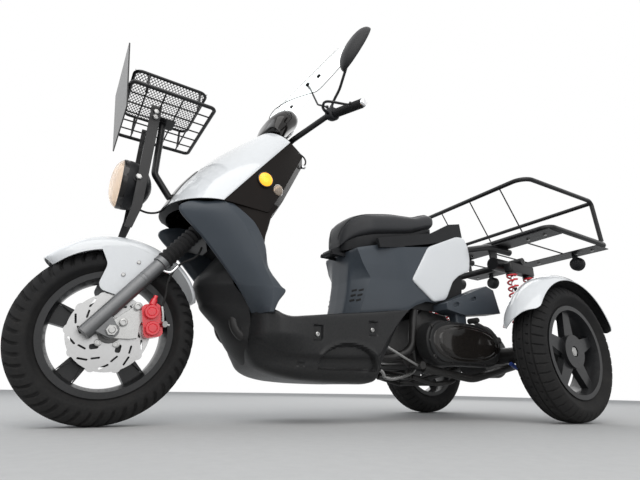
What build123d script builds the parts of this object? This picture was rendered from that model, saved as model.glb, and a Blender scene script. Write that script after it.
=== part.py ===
from build123d import *
import os
from math import cos, radians, sin

# Step-through cargo scooter with one wheel in front and two behind, in millimetres.
# +X is forwards, +Y the rider's left, +Z up. The origin is on the ground, in the middle of the
# overall length and width.

os.makedirs("parts", exist_ok=True)

# Stance
front_tyre_r = 236.5
front_tyre_w = 120
rear_tyre_r = 254
rear_tyre_w = 130
wheelbase = 1574
rear_track = 760
rack_overhang = 526  # from the rear axle to the rack's last tube
rake = 37.7  # degrees, steering axis from the vertical

overall_length = front_tyre_r + wheelbase + rack_overhang
front_axle_x = overall_length / 2 - front_tyre_r
rear_axle_x = front_axle_x - wheelbase
wheel_y = rear_track / 2

# Gaps
fit_gap = 0.05  # radial, shaft in its bore
seat_gap = 0.3  # between pieces that rest on each other
clear_gap = 6  # between pieces that move past each other

# Wheels
front_bead_r = 158
front_flange_r = 168.5
rear_bead_r = 162
rear_flange_r = 173
rim_wall = 6
flange_w = 5
front_spokes = 5
rear_spokes = 5
front_hub_r = 36
front_axle_r = 8
rear_hub_r = 62
rear_shaft_r = 12.5
disc_r = 108
disc_t = 4.5
disc_y = 58
disc_waves = 10

# Steering, in a frame on the front axle: out is ahead of it, along is up the steering axis
steer_out = 7
leg_out = 42
leg_y = 92
leg_r = 20
stanchion_r = 15
leg_low = -47
leg_top = 228
gaiter_top = 366
gaiter_r = 26
clamp_low = 372
clamp_t = 30
stem_r = 13
head_low = 420
head_top = 640
head_r = 27
bar_r = 11
bar_out = 60
bar_along = 928
bar_bend_y = 188
bar_sweep = 74
bar_rise = 60.5
bar_end_sweep = 125
bar_end_rise = 44.5
grip_in = 228
grip_out = 342
grip_r = 17

# Front cowl and leg shield
cowl_low_z = 632
cowl_split = 57  # ahead of the axle, where the white cowl meets the dark one
cowl_top = 862
wall = 5
well_r = 132
well_back = -60
well_top = 412
shield_low_z = 172

# Floor, cover and seat
floor_half_w = 205
cover_half_w = 158
cover_wall = 4
cover_nose_half_w = 120
cover_kink = 806
recess_depth = 8
panel_t = 8
tub_front = 748
tub_back = 985
tub_half_w = 122
tub_low = 470
seat_half_w = 136
hinge_back = 722
hinge_z = 600
hinge_r = 5

# Frame and rear axle
rail_r = 16
rail_y = 75
rail_z = 215
axle_tube_r = 34
shock_y = 235
shock_r = 24
shock_low = 306
shock_back = 14  # behind the rear axle, between the two springs of a side
shock_apart = 118
yoke_z = 598
cross_z = 655
cross_r = 15
fan_r = 62
fan_slots = 12

# Fenders
front_fender_r = 244
front_fender_rise = 31
rear_fender_gap = 50
rear_fender_in = 71
rear_fender_out = 76
skin = 4

# Rear rack
rack_half_w = 400
rack_z = 786
rack_front = wheelbase + 27
rack_tube_r = 12
rack_plate_w = 105
rack_plate_t = 4
rack_bolt_r = 4.5
rack_bolt_y = 150
guard_z = 985
guard_front = wheelbase - 93
guard_r = 10
rack_wire_r = 3.5

# Front carrier, mesh deck and lamp, measured from the front axle
carrier_half_w = 172
carrier_front = 75
carrier_back = 190
carrier_z = 950
carrier_r = 6
carrier_wire_r = 2.5
deck_half_w = 137
deck_front = 68
deck_back = 165
deck_z = 1018
front_plate_low = 870
front_plate_top = 1090
lamp_r = 78
lamp_z = 690
lamp_front = 66
lamp_back = 54

sin_rake = sin(radians(rake))
cos_rake = cos(radians(rake))


def behind(distance):
    """X of a station this far behind the front axle."""
    return front_axle_x - distance


def astern(distance):
    """X of a station this far behind the rear axle."""
    return rear_axle_x - distance


def on_fork(out, side, along):
    """World point from a place ahead of the axle, to the left, and up along the steering axis."""
    x = front_axle_x + out * cos_rake - along * sin_rake
    z = front_tyre_r + out * sin_rake + along * cos_rake
    return (x, side, z)


def fork_plane(along, out=0, side=0):
    """Plane square to the steering axis, its x forwards and its y to the left."""
    return Plane(origin=on_fork(out, side, along), x_dir=(cos_rake, 0, sin_rake), z_dir=(-sin_rake, 0, cos_rake))


def side_plane(y):
    """Plane across the width: its x is world X and its y is world Z."""
    return Plane(origin=(0, y, 0), x_dir=(1, 0, 0), z_dir=(0, -1, 0))


def tube(points, radius, bend=None, mode=Mode.ADD):
    """Round bar along straight runs with tangent arcs, added to the part being built."""
    with BuildLine() as route:
        if len(points) > 2:
            FilletPolyline(*points, radius=bend)
        else:
            Line(*points)
    with BuildSketch(Plane(origin=route.line @ 0, z_dir=route.line % 0)) as section:
        Circle(radius)
    sweep(sections=section.sketch, path=route.line, mode=mode)


def hoop(half_length, half_width, centre, corner, radius):
    """Closed tube round a rectangle with rounded corners, lying flat."""
    with BuildLine(Plane(origin=centre)) as route:
        Polyline(
            (half_length - corner, half_width),
            (-half_length + corner, half_width),
        )
        JernArc((-half_length + corner, half_width), (-1, 0), corner, 90)
        Line((-half_length, half_width - corner), (-half_length, -half_width + corner))
        JernArc((-half_length, -half_width + corner), (0, -1), corner, 90)
        Line((-half_length + corner, -half_width), (half_length - corner, -half_width))
        JernArc((half_length - corner, -half_width), (1, 0), corner, 90)
        Line((half_length, -half_width + corner), (half_length, half_width - corner))
        JernArc((half_length, half_width - corner), (0, 1), corner, 90)
    path = route.wire()
    with BuildSketch(Plane(origin=path @ 0, z_dir=path % 0)) as section:
        Circle(radius)
    sweep(sections=section.sketch, path=path)


def slab(outline, y_low, y_high, mode=Mode.ADD):
    """Prism of a side outline of (x, z) corners between two widths."""
    with BuildSketch(side_plane(y_low)) as face:
        with BuildLine():
            Polyline(*outline, close=True)
        make_face()
    extrude(face.sketch, amount=y_high - y_low, dir=(0, 1, 0), mode=mode)


def disc(x, z, y_low, y_high, radius, mode=Mode.ADD):
    """Round prism across the width."""
    with BuildSketch(side_plane(y_low)) as face:
        with Locations((x, z)):
            Circle(radius)
    extrude(face.sketch, amount=y_high - y_low, dir=(0, 1, 0), mode=mode)


def tyre(axle_x, axle_z, y, radius, width, bead_r, flange_r):
    """Crown, shoulder, sidewall and bead, turned about the axle."""
    half = width / 2
    seat_y = half * 0.72
    left = [
        (half * 0.6, radius - 6),
        (half * 0.9, radius - 24),
        (half, radius - 46),
        (seat_y, flange_r + 2),
        (seat_y, bead_r + seat_gap),
    ]
    right = [(-across, high) for across, high in reversed(left)]
    with BuildSketch(Plane(origin=(axle_x, y, axle_z), x_dir=(0, 1, 0), z_dir=(1, 0, 0))) as face:
        with BuildLine():
            ThreePointArc(right[-1], (0, radius), left[0])
            Polyline(*left, *right)
        make_face()
    revolve(face.sketch, axis=Axis((axle_x, y, axle_z), (0, 1, 0)))


def barrel(axle_x, axle_z, y, bead_r, flange_r, seat_y):
    """Rim barrel with its two flanges."""
    inside = seat_y + seat_gap
    outside = inside + flange_w
    with BuildSketch(Plane(origin=(axle_x, y, axle_z), x_dir=(0, 1, 0), z_dir=(1, 0, 0))) as face:
        with BuildLine():
            Polyline(
                (-outside, flange_r),
                (-inside, flange_r),
                (-inside, bead_r),
                (inside, bead_r),
                (inside, flange_r),
                (outside, flange_r),
                (outside, bead_r - rim_wall),
                (seat_y * 0.5, bead_r - rim_wall - 8),
                (-seat_y * 0.5, bead_r - rim_wall - 8),
                (-outside, bead_r - rim_wall),
                close=True,
            )
        make_face()
    revolve(face.sketch, axis=Axis((axle_x, y, axle_z), (0, 1, 0)))


def spokes(axle_x, axle_z, y_low, y_high, inner_r, outer_r, width, count, turn):
    """Tapered spokes between hub and barrel, evenly spaced about the axle."""
    length = outer_r - inner_r
    with BuildSketch(side_plane(y_low)) as face:
        with Locations((axle_x, axle_z)):
            with PolarLocations(0, count, start_angle=turn):
                with Locations((inner_r + length / 2, 0)):
                    Trapezoid(width, length, 84, rotation=-90)
    extrude(face.sketch, amount=y_high - y_low, dir=(0, 1, 0))


def arch(axle_x, centre_z, radius, y_in, y_out, crown, start, end):
    """Crowned fender skin, turned about a line across the width between two angles."""
    origin = (axle_x, 0, centre_z)
    outward = Vector(cos(radians(start)), 0, sin(radians(start)))
    middle = (y_in + y_out) / 2
    with BuildSketch(Plane(origin=origin, x_dir=(0, 1, 0), z_dir=Vector(0, 1, 0).cross(outward))) as face:
        with BuildLine():
            ThreePointArc((y_in, radius - crown), (middle, radius), (y_out, radius - crown))
            Line((y_out, radius - crown), (y_out - skin, radius - crown))
            ThreePointArc((y_out - skin, radius - crown), (middle, radius - skin), (y_in + skin, radius - crown))
            Line((y_in + skin, radius - crown), (y_in, radius - crown))
        make_face()
    revolve(face.sketch, axis=Axis(origin, (0, -1, 0)), revolution_arc=end - start)


# Front tyre
with BuildPart() as front_tyre:
    tyre(front_axle_x, front_tyre_r, 0, front_tyre_r, front_tyre_w, front_bead_r, front_flange_r)
front_tyre.part.label = "front_tyre"
export_step(front_tyre.part, "parts/front_tyre.step")

# Front rim: barrel, hub and five pairs of spokes
front_seat_y = front_tyre_w / 2 * 0.72
hub_left = disc_y - seat_gap
with BuildPart() as front_rim:
    barrel(front_axle_x, front_tyre_r, 0, front_bead_r, front_flange_r, front_seat_y)
    disc(front_axle_x, front_tyre_r, -46, hub_left, front_hub_r)
    for turn in (-11, 11):
        spokes(
            front_axle_x,
            front_tyre_r,
            -12,
            22,
            front_hub_r - 8,
            front_bead_r - rim_wall - 2,
            26,
            front_spokes,
            turn + 18,
        )
    disc(front_axle_x, front_tyre_r, -60, 80, front_axle_r + fit_gap, Mode.SUBTRACT)
front_rim.part.label = "front_rim"
export_step(front_rim.part, "parts/front_rim.step")

# Brake disc: scalloped edge, two rings of slots and windows round the hub
with BuildPart() as brake_disc:
    with BuildSketch(side_plane(disc_y)):
        with Locations((front_axle_x, front_tyre_r)):
            Circle(disc_r - 5)
            with PolarLocations(disc_r - 13, disc_waves):
                Circle(13)
            with PolarLocations(disc_r - 19, disc_waves, start_angle=18):
                SlotOverall(26, 5, rotation=62, mode=Mode.SUBTRACT)
            with PolarLocations(disc_r - 36, disc_waves):
                SlotOverall(22, 5, rotation=62, mode=Mode.SUBTRACT)
            with PolarLocations(50, disc_waves // 2, start_angle=20):
                RectangleRounded(22, 14, 5, rotation=40, mode=Mode.SUBTRACT)
            Circle(front_axle_r + 6, mode=Mode.SUBTRACT)
    extrude(amount=disc_t, dir=(0, 1, 0))
brake_disc.part.label = "brake_disc"
export_step(brake_disc.part, "parts/brake_disc.step")

# Rear wheels: tyre, cast rim with a round hub cover, and the driven stub shaft
rear_seat_y = rear_tyre_w / 2 * 0.72
for side, place in ((1, "left"), (-1, "right")):
    mid_y = side * wheel_y
    inner_y = side * (wheel_y - 52)
    outer_y = side * (wheel_y + 46)
    floor_y = side * (wheel_y + 34)
    spoke_y = sorted((side * (wheel_y + 6), side * (wheel_y + 32)))
    with BuildPart() as rear_tyre:
        tyre(rear_axle_x, rear_tyre_r, mid_y, rear_tyre_r, rear_tyre_w, rear_bead_r, rear_flange_r)
    rear_tyre.part.label = f"rear_tyre_{place}"
    export_step(rear_tyre.part, f"parts/rear_tyre_{place}.step")
    with BuildPart() as rear_rim:
        barrel(rear_axle_x, rear_tyre_r, mid_y, rear_bead_r, rear_flange_r, rear_seat_y)
        disc(rear_axle_x, rear_tyre_r, inner_y, outer_y, rear_hub_r - 12)
        disc(rear_axle_x, rear_tyre_r, side * (wheel_y + 22), outer_y, rear_hub_r)
        spokes(
            rear_axle_x,
            rear_tyre_r,
            *spoke_y,
            rear_hub_r - 14,
            rear_bead_r - rim_wall - 2,
            60,
            rear_spokes,
            90,
        )
        disc(rear_axle_x, rear_tyre_r, floor_y, outer_y, 20, Mode.SUBTRACT)
        disc(rear_axle_x, rear_tyre_r, inner_y, floor_y, rear_shaft_r + seat_gap, Mode.SUBTRACT)
    rear_rim.part.label = f"rear_rim_{place}"
    export_step(rear_rim.part, f"parts/rear_rim_{place}.step")
    with BuildPart() as rear_shaft:
        disc(rear_axle_x, rear_tyre_r, side * (wheel_y - 150), side * (wheel_y + 44), rear_shaft_r)
        with BuildSketch(side_plane(floor_y + side * seat_gap)) as nut:
            with Locations((rear_axle_x, rear_tyre_r)):
                RegularPolygon(18, 6)
        extrude(nut.sketch, amount=9, dir=(0, side, 0))
    rear_shaft.part.label = f"rear_shaft_{place}"
    export_step(rear_shaft.part, f"parts/rear_shaft_{place}.step")

# Front axle: held in the fork legs, the wheel turns on it
leg_outer_y = leg_y + leg_r
with BuildPart() as front_axle:
    disc(front_axle_x, front_tyre_r, -leg_outer_y - 4, leg_outer_y + 4, front_axle_r)
    for side in (1, -1):
        with BuildSketch(side_plane(side * (leg_y + 12 + seat_gap))) as nut:
            with Locations((front_axle_x, front_tyre_r)):
                RegularPolygon(15, 6)
        extrude(nut.sketch, amount=9, dir=(0, side, 0))
front_axle.part.label = "front_axle"
export_step(front_axle.part, "parts/front_axle.step")

# Fork: stanchions, lower clamp and stem
with BuildPart() as fork:
    for side in (1, -1):
        with BuildSketch(fork_plane(60, leg_out, side * leg_y)):
            Circle(stanchion_r)
        extrude(amount=clamp_low + clamp_t - 60)
    with BuildSketch(fork_plane(clamp_low)):
        with BuildLine():
            Polyline(
                (steer_out - 32, 26),
                (leg_out - 20, leg_y + 20),
                (leg_out + 20, leg_y + 20),
                (leg_out + 22, 0),
                (leg_out + 20, -leg_y - 20),
                (leg_out - 20, -leg_y - 20),
                (steer_out - 32, -26),
                close=True,
            )
        make_face()
    extrude(amount=clamp_t)
    with BuildSketch(fork_plane(clamp_low, steer_out)):
        Circle(stem_r)
    extrude(amount=bar_along - clamp_low)
fork.part.label = "fork"
export_step(fork.part, "parts/fork.step")

# Lower legs with their axle lugs
with BuildPart() as fork_legs:
    for side in (1, -1):
        with BuildSketch(fork_plane(leg_low, leg_out, side * leg_y)):
            Circle(leg_r)
        extrude(amount=leg_top - leg_low)
        with BuildSketch(fork_plane(leg_top - 14, leg_out, side * leg_y)):
            Circle(leg_r + 4)
        extrude(amount=14)
        with BuildSketch(side_plane(side * (leg_y - 12))) as lug:
            with Locations((front_axle_x, front_tyre_r)):
                Circle(19)
            with BuildLine():
                Polyline(
                    (front_axle_x - 10, front_tyre_r + 16),
                    on_fork(leg_out, 0, 32)[::2],
                    on_fork(leg_out, 0, -30)[::2],
                    (front_axle_x + 8, front_tyre_r - 17),
                    close=True,
                )
            make_face()
        extrude(lug.sketch, amount=24, dir=(0, side, 0))
        with BuildSketch(fork_plane(50, leg_out, side * leg_y)):
            Circle(stanchion_r + seat_gap)
        extrude(amount=leg_top, mode=Mode.SUBTRACT)
    disc(front_axle_x, front_tyre_r, -200, 200, front_axle_r + seat_gap, Mode.SUBTRACT)
fork_legs.part.label = "fork_legs"
export_step(fork_legs.part, "parts/fork_legs.step")

# Rubber gaiters: a bellows of rings over each stanchion
folds = 9
gaiter_low = leg_top + seat_gap
fold = (gaiter_top - gaiter_low) / folds
with BuildPart() as fork_gaiters:
    for side in (1, -1):
        foot = on_fork(leg_out, side * leg_y, gaiter_low)
        profile = Plane(origin=foot, x_dir=(cos_rake, 0, sin_rake), z_dir=(0, -1, 0))
        ridge = [(gaiter_r - 5 * ((n + 1) % 2), n * fold / 2) for n in range(1, 2 * folds)]
        with BuildSketch(profile) as bellows:
            with BuildLine():
                Polyline(
                    (stanchion_r + seat_gap, 0),
                    (22, 0),
                    *ridge,
                    (22, folds * fold),
                    (stanchion_r + seat_gap, folds * fold),
                    close=True,
                )
            make_face()
        revolve(bellows.sketch, axis=Axis(foot, (-sin_rake, 0, cos_rake)))
fork_gaiters.part.label = "fork_gaiters"
export_step(fork_gaiters.part, "parts/fork_gaiters.step")

# Caliper bracket: a plate from the axle back to the caliper
bracket_y = disc_y + disc_t + 3.5
bracket_t = 10
with BuildPart() as caliper_bracket:
    with BuildSketch(side_plane(bracket_y)) as plate:
        with Locations((front_axle_x, front_tyre_r)):
            Circle(20)
        with BuildLine():
            Polyline(
                (front_axle_x + 12, front_tyre_r + 15),
                (behind(26), front_tyre_r + 52),
                (behind(64), front_tyre_r + 84),
                (behind(84), front_tyre_r + 62),
                (behind(70), front_tyre_r + 20),
                (behind(70), front_tyre_r - 12),
                (behind(52), front_tyre_r - 16),
                (front_axle_x - 8, front_tyre_r - 17),
                close=True,
            )
        make_face()
        with Locations((front_axle_x, front_tyre_r)):
            Circle(front_axle_r + seat_gap, mode=Mode.SUBTRACT)
    extrude(plate.sketch, amount=bracket_t, dir=(0, 1, 0))
caliper_bracket.part.label = "caliper_bracket"
export_step(caliper_bracket.part, "parts/caliper_bracket.step")

# Brake caliper: two piston bosses astride the disc
with BuildPart() as brake_caliper:
    with BuildSketch(side_plane(disc_y - 8)) as body:
        with Locations((behind(98), front_tyre_r + 36)):
            RectangleRounded(50, 92, 14, rotation=-12)
    extrude(body.sketch, amount=44, dir=(0, 1, 0))
    for back, high in ((92, 58), (100, 14)):
        disc(behind(back), front_tyre_r + high, disc_y + 36, disc_y + 46, 19)
    disc(front_axle_x, front_tyre_r, disc_y - 3, disc_y + disc_t + 3, disc_r + 6, Mode.SUBTRACT)
    slab(
        [
            (behind(60), front_tyre_r + 100),
            (behind(90), front_tyre_r + 66),
            (behind(74), front_tyre_r + 20),
            (behind(74), front_tyre_r - 30),
            (behind(40), front_tyre_r - 30),
            (behind(40), front_tyre_r + 100),
        ],
        bracket_y - seat_gap,
        bracket_y + bracket_t + seat_gap,
        Mode.SUBTRACT,
    )
brake_caliper.part.label = "brake_caliper"
export_step(brake_caliper.part, "parts/brake_caliper.step")

# Front fender: crowned skin with an apron inside each fork leg
front_fender_half_w = leg_y - leg_r - seat_gap
fender_z = front_tyre_r + front_fender_rise
with BuildPart() as front_fender:
    arch(front_axle_x, fender_z, front_fender_r, -front_fender_half_w, front_fender_half_w, 30, 40, 160)
    for side in (1, -1):
        slab(
            [
                (behind(95), fender_z + 192),
                (behind(46), fender_z + 128),
                (behind(8), fender_z + 68),
                (behind(-40), fender_z + 78),
                (behind(-48), fender_z + 96),
                (behind(-34), fender_z + 150),
                (behind(-60), fender_z + 200),
                (behind(20), fender_z + 214),
            ],
            *sorted((side * (front_fender_half_w - skin), side * front_fender_half_w)),
        )
        with BuildSketch(fork_plane(leg_top - 16, leg_out, side * leg_y)):
            Circle(gaiter_r + 1)
        extrude(amount=gaiter_top - leg_top + 40, mode=Mode.SUBTRACT)
front_fender.part.label = "front_fender"
export_step(front_fender.part, "parts/front_fender.step")

# Handlebar: risers from the stem and one bent tube
bar_x, _, bar_z = on_fork(bar_out, 0, bar_along)
bar_route = [
    (bar_x - bar_end_sweep, -grip_out, bar_z + bar_end_rise),
    (bar_x - bar_sweep, -bar_bend_y, bar_z + bar_rise),
    (bar_x, -62, bar_z),
    (bar_x, 62, bar_z),
    (bar_x - bar_sweep, bar_bend_y, bar_z + bar_rise),
    (bar_x - bar_end_sweep, grip_out, bar_z + bar_end_rise),
]
with BuildPart() as handlebar:
    tube(bar_route, bar_r, 36)
    with BuildSketch(fork_plane(bar_along - 26, steer_out)) as clamp:
        with Locations(((bar_out - steer_out) / 2, 0)):
            RectangleRounded(bar_out - steer_out + 46.4, 46, 14)
        Circle(stem_r + seat_gap, mode=Mode.SUBTRACT)
    extrude(clamp.sketch, amount=44)
handlebar.part.label = "handlebar"
export_step(handlebar.part, "parts/handlebar.step")


def along_grip(y):
    """Point on the straight outer run of the left bar end."""
    share = (y - bar_bend_y) / (grip_out - bar_bend_y)
    back = bar_sweep + share * (bar_end_sweep - bar_sweep)
    high = bar_rise + share * (bar_end_rise - bar_rise)
    return Vector(bar_x - back, y, bar_z + high)


# Grips with their bar ends, switch housings with their levers, and mirrors
grip_dir = (along_grip(grip_out) - along_grip(grip_in)).normalized()
with BuildPart() as grips:
    for flip in (1, -1):
        start = along_grip(grip_in)
        stop = along_grip(grip_out)
        axis = Vector(grip_dir.X, flip * grip_dir.Y, grip_dir.Z)
        with BuildSketch(Plane(origin=(start.X, flip * start.Y, start.Z), z_dir=axis)) as grip:
            Circle(grip_r)
            Circle(bar_r + seat_gap, mode=Mode.SUBTRACT)
        extrude(grip.sketch, amount=(stop - start).length)
        with BuildSketch(Plane(origin=(stop.X, flip * stop.Y, stop.Z), z_dir=axis)) as weight:
            Circle(grip_r - 1)
        extrude(weight.sketch, amount=13, taper=12)
grips.part.label = "grips"
export_step(grips.part, "parts/grips.step")

with BuildPart() as switch_housings:
    for flip in (1, -1):
        inner = along_grip(198)
        outer = along_grip(grip_in - seat_gap)
        axis = Vector(grip_dir.X, flip * grip_dir.Y, grip_dir.Z)
        with BuildSketch(Plane(origin=(inner.X, flip * inner.Y, inner.Z), x_dir=(1, 0, 0), z_dir=axis)) as box:
            RectangleRounded(46, 58, 14)
            Circle(bar_r + seat_gap, mode=Mode.SUBTRACT)
        extrude(box.sketch, amount=(outer - inner).length)
        far = along_grip(grip_out - 8)
        tube(
            [
                (inner.X + 18, flip * (inner.Y + 16), inner.Z - 4),
                (inner.X + 54, flip * (inner.Y + 42), inner.Z - 8),
                (far.X + 42, flip * far.Y, far.Z - 10),
            ],
            6,
            18,
        )
switch_housings.part.label = "switch_housings"
export_step(switch_housings.part, "parts/switch_housings.step")

mirror_foot = along_grip(210)
mirror_lean = 23
with BuildPart() as mirrors:
    for flip in (1, -1):
        foot = (mirror_foot.X, flip * mirror_foot.Y, mirror_foot.Z + 33)
        knee = (foot[0] - 4, flip * (mirror_foot.Y + 46), foot[2] + 52)
        neck = (bar_x - 72, flip * 318, bar_z + 188)
        tube([foot, knee, neck], 6, 26)
        centre = Vector(bar_x - 102, flip * 326, bar_z + 288)
        up = (-sin(radians(mirror_lean)), 0, cos(radians(mirror_lean)))
        back = Vector(-cos(radians(mirror_lean)), 0, -sin(radians(mirror_lean)))
        with BuildSketch(Plane(origin=centre, x_dir=up, z_dir=back)) as glass:
            Ellipse(124, 64)
        with BuildSketch(Plane(origin=centre - back * 30, x_dir=up, z_dir=back)) as shell:
            Ellipse(88, 34)
        extrude(glass.sketch, amount=12)
        loft(sections=[glass.sketch, shell.sketch])
mirrors.part.label = "mirrors"
export_step(mirrors.part, "parts/mirrors.step")

# Instrument hood over the bar clamp
hood_rows = (
    # along, front, back, half width
    (876, 157, 86, 96),
    (930, 181, 84, 100),
    (990, 177, 82, 88),
    (1036, 160, 98, 58),
)
with BuildPart() as instrument_hood:
    rings = []
    for along, front, back, half in hood_rows:
        with BuildSketch(fork_plane(along)) as ring:
            with BuildLine():
                ThreePointArc((back + 24, -half), (front, 0), (back + 24, half))
                Polyline((back + 24, half), (back, half * 0.8), (back, -half * 0.8), (back + 24, -half))
            make_face()
        rings.append(ring.sketch)
    loft(sections=rings, ruled=True)
instrument_hood.part.label = "instrument_hood"
export_step(instrument_hood.part, "parts/instrument_hood.step")

# Windscreen: a bowed clear sheet with its two stay rods
screen_low = 950
screen_len = 556
screen_half_w = 168
screen_t = 3
screen_tip = 4.8
screen_foot = on_fork(150, 0, screen_low)
screen_up = (
    -sin(radians(rake - screen_tip)),
    0,
    cos(radians(rake - screen_tip)),
)
screen_out = (cos(radians(rake - screen_tip)), 0, sin(radians(rake - screen_tip)))
with BuildPart() as windscreen:
    with BuildSketch(Plane(origin=screen_foot, x_dir=screen_out, z_dir=screen_up)) as bow:
        with BuildLine():
            ThreePointArc((-34, -screen_half_w), (44, 0), (-34, screen_half_w))
            Line((-34, screen_half_w), (-34 - screen_t, screen_half_w))
            ThreePointArc((-34 - screen_t, screen_half_w), (44 - screen_t, 0), (-34 - screen_t, -screen_half_w))
            Line((-34 - screen_t, -screen_half_w), (-34, -screen_half_w))
        make_face()
    extrude(bow.sketch, amount=screen_len)
    screen_face = Plane(origin=screen_foot, x_dir=(0, 1, 0), z_dir=screen_out).offset(-120)
    with BuildSketch(screen_face) as sheet:
        with BuildLine():
            Polyline(
                (-70, 60),
                (70, 60),
                (screen_half_w - 8, 130),
                (screen_half_w - 12, screen_len - 150),
                (92, screen_len - 2),
                (-92, screen_len - 2),
                (-screen_half_w + 12, screen_len - 150),
                (-screen_half_w + 8, 130),
                close=True,
            )
        make_face()
    extrude(sheet.sketch, amount=240, mode=Mode.INTERSECT)
windscreen.part.label = "windscreen"
export_step(windscreen.part, "parts/windscreen.step")

with BuildPart() as screen_stays:
    for flip in (1, -1):
        low = along_grip(202)
        high = Vector(*screen_foot) + Vector(*screen_up) * 190 - Vector(*screen_out) * 2
        tube(
            [
                (low.X + 12, flip * low.Y, low.Z + 33),
                (low.X + 30, flip * 164, low.Z + 60),
                (high.X, flip * 104, high.Z),
            ],
            3.5,
            18,
        )
        with BuildSketch(Plane(origin=(high.X, flip * 104, high.Z), z_dir=screen_out)) as boss:
            Circle(5)
        extrude(boss.sketch, amount=13.5)
        with BuildSketch(Plane(origin=(low.X + 12, flip * low.Y, low.Z + 29.9))) as foot:
            Circle(6)
        extrude(foot.sketch, amount=6)
screen_stays.part.label = "screen_stays"
export_step(screen_stays.part, "parts/screen_stays.step")

# Main frame: head tube, two rails under the floor and up behind the seat, cross tubes
rail_route = [
    (behind(300), 22, 640),
    (behind(345), rail_y, rail_z + 40),
    (behind(520), rail_y, rail_z),
    (behind(960), rail_y, rail_z),
    (behind(1032), 115, rail_z + 30),
    (behind(1060), 115, 470),
    (astern(-244), 112, 690),
    (astern(-14), 112, rack_z - rack_tube_r - rack_plate_t - rail_r),
    (astern(142), 112, rack_z - rack_tube_r - rack_plate_t - rail_r),
]
rail_bends = [60, 90, 120, 60, 60, 120, 200]


def rails(radius, mode=Mode.ADD):
    """The pair of frame rails, or the channels they lie in."""
    for flip in (1, -1):
        tube([(x, flip * y, z) for x, y, z in rail_route], radius, rail_bends, mode)


with BuildPart() as main_frame:
    with BuildSketch(fork_plane(head_low, steer_out)):
        Circle(head_r)
    extrude(amount=head_top - head_low)
    rails(rail_r)
    tube([(behind(1036), -165, rail_z - 24), (behind(1036), 165, rail_z - 24)], 14)
    for flip in (1, -1):
        slab(
            [
                (behind(995), 212),
                (behind(1042), 292),
                (behind(1048), rail_z - 24),
                (behind(1024), rail_z - 34),
            ],
            *sorted((flip * 98, flip * 104)),
        )
    tube([(astern(shock_back), -258, cross_z), (astern(shock_back), 258, cross_z)], cross_r)
    for flip in (1, -1):
        tube([(astern(-87), flip * 176, cross_z - 9), (astern(123), flip * 176, cross_z - 9)], 28)
        slab(
            [(astern(-14), 750), (astern(42), 750), (astern(32), cross_z - 5), (astern(-4), cross_z - 5)],
            *sorted((flip * 108, flip * 116)),
        )
    with BuildSketch(fork_plane(head_low - 1, steer_out)):
        Circle(stem_r + fit_gap)
    extrude(amount=head_top - head_low + 2, mode=Mode.SUBTRACT)
main_frame.part.label = "main_frame"
export_step(main_frame.part, "parts/main_frame.step")


# Front cowl and the dark cowl behind it: sections square to the steering axis, measured from the front axle
cowl_rows = (
    # along, ridge, back, half width
    (330, 158, -112, 186),
    (473, 191, -100, 192),
    (647, 188, -75, 178),
    (cowl_top, 155, -38, 120),
)


def cowl_loft(inset, mode=Mode.ADD):
    """Column round the steering head, drawn in by an inset."""
    rings = []
    for along, ridge, back, half in cowl_rows:
        side = half - inset
        with BuildSketch(fork_plane(along)) as ring:
            with BuildLine():
                ThreePointArc((cowl_split, -side), (ridge - inset, 0), (cowl_split, side))
                Polyline(
                    (cowl_split, side),
                    (back + inset + 26, side - 8),
                    (back + inset, side - 44),
                    (back + inset, -side + 44),
                    (back + inset + 26, -side + 8),
                    (cowl_split, -side),
                )
            make_face()
        rings.append(ring.sketch)
    loft(sections=rings, ruled=True, mode=mode)


split_face = Plane(origin=on_fork(cowl_split, 0, 0), z_dir=(cos_rake, 0, sin_rake))
carrier_leg_z = 676
stay_route = [
    (behind(281), 0, 668),
    (behind(116), 0, carrier_leg_z),
    (behind(56), 0, 752),
    (behind(56), 0, carrier_z - carrier_wire_r - seat_gap),
]
stay_r = 11
with BuildPart() as front_cowl:
    cowl_loft(0)
    cowl_loft(wall, Mode.SUBTRACT)
    split(bisect_by=split_face.offset(seat_gap), keep=Keep.TOP)
    split(bisect_by=Plane.XY.offset(cowl_low_z + seat_gap), keep=Keep.TOP)
    tube(stay_route[:2], stay_r + seat_gap, mode=Mode.SUBTRACT)
    tube(stay_route, stay_r + seat_gap, 30, Mode.SUBTRACT)
front_cowl.part.label = "front_cowl"
export_step(front_cowl.part, "parts/front_cowl.step")

with BuildPart() as inner_cowl:
    cowl_loft(0)
    cowl_loft(wall, Mode.SUBTRACT)
    split(bisect_by=split_face, keep=Keep.BOTTOM)
    split(bisect_by=Plane.XY.offset(cowl_low_z + seat_gap), keep=Keep.TOP)
    top_along, top_ridge, top_back, top_half = cowl_rows[-1]
    half = top_half - wall - 1
    with BuildSketch(fork_plane(cowl_top - 6)) as cap:
        with BuildLine():
            ThreePointArc((cowl_split, -half), (top_ridge - wall - 1, 0), (cowl_split, half))
            Polyline((cowl_split, half), (top_back + 2, half - 42), (top_back + 2, -half + 42), (cowl_split, -half))
        make_face()
        with Locations((steer_out, 0)):
            Circle(stem_r + clear_gap + 8, mode=Mode.SUBTRACT)
    extrude(cap.sketch, amount=4)
inner_cowl.part.label = "inner_cowl"
export_step(inner_cowl.part, "parts/inner_cowl.step")

# Indicators low on each side of the cowl
with BuildPart() as front_indicators:
    for flip in (1, -1):
        with BuildSketch(Plane(origin=(behind(367), flip * 178.3, 742), z_dir=(0, flip, 0))) as stem:
            Circle(10)
        extrude(stem.sketch, amount=6)
        with BuildSketch(Plane(origin=(behind(367), flip * 182.4, 742), z_dir=(0, flip, 0))) as lens:
            Circle(24)
        extrude(lens.sketch, amount=12, taper=20)
front_indicators.part.label = "front_indicators"
export_step(front_indicators.part, "parts/front_indicators.step")

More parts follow.
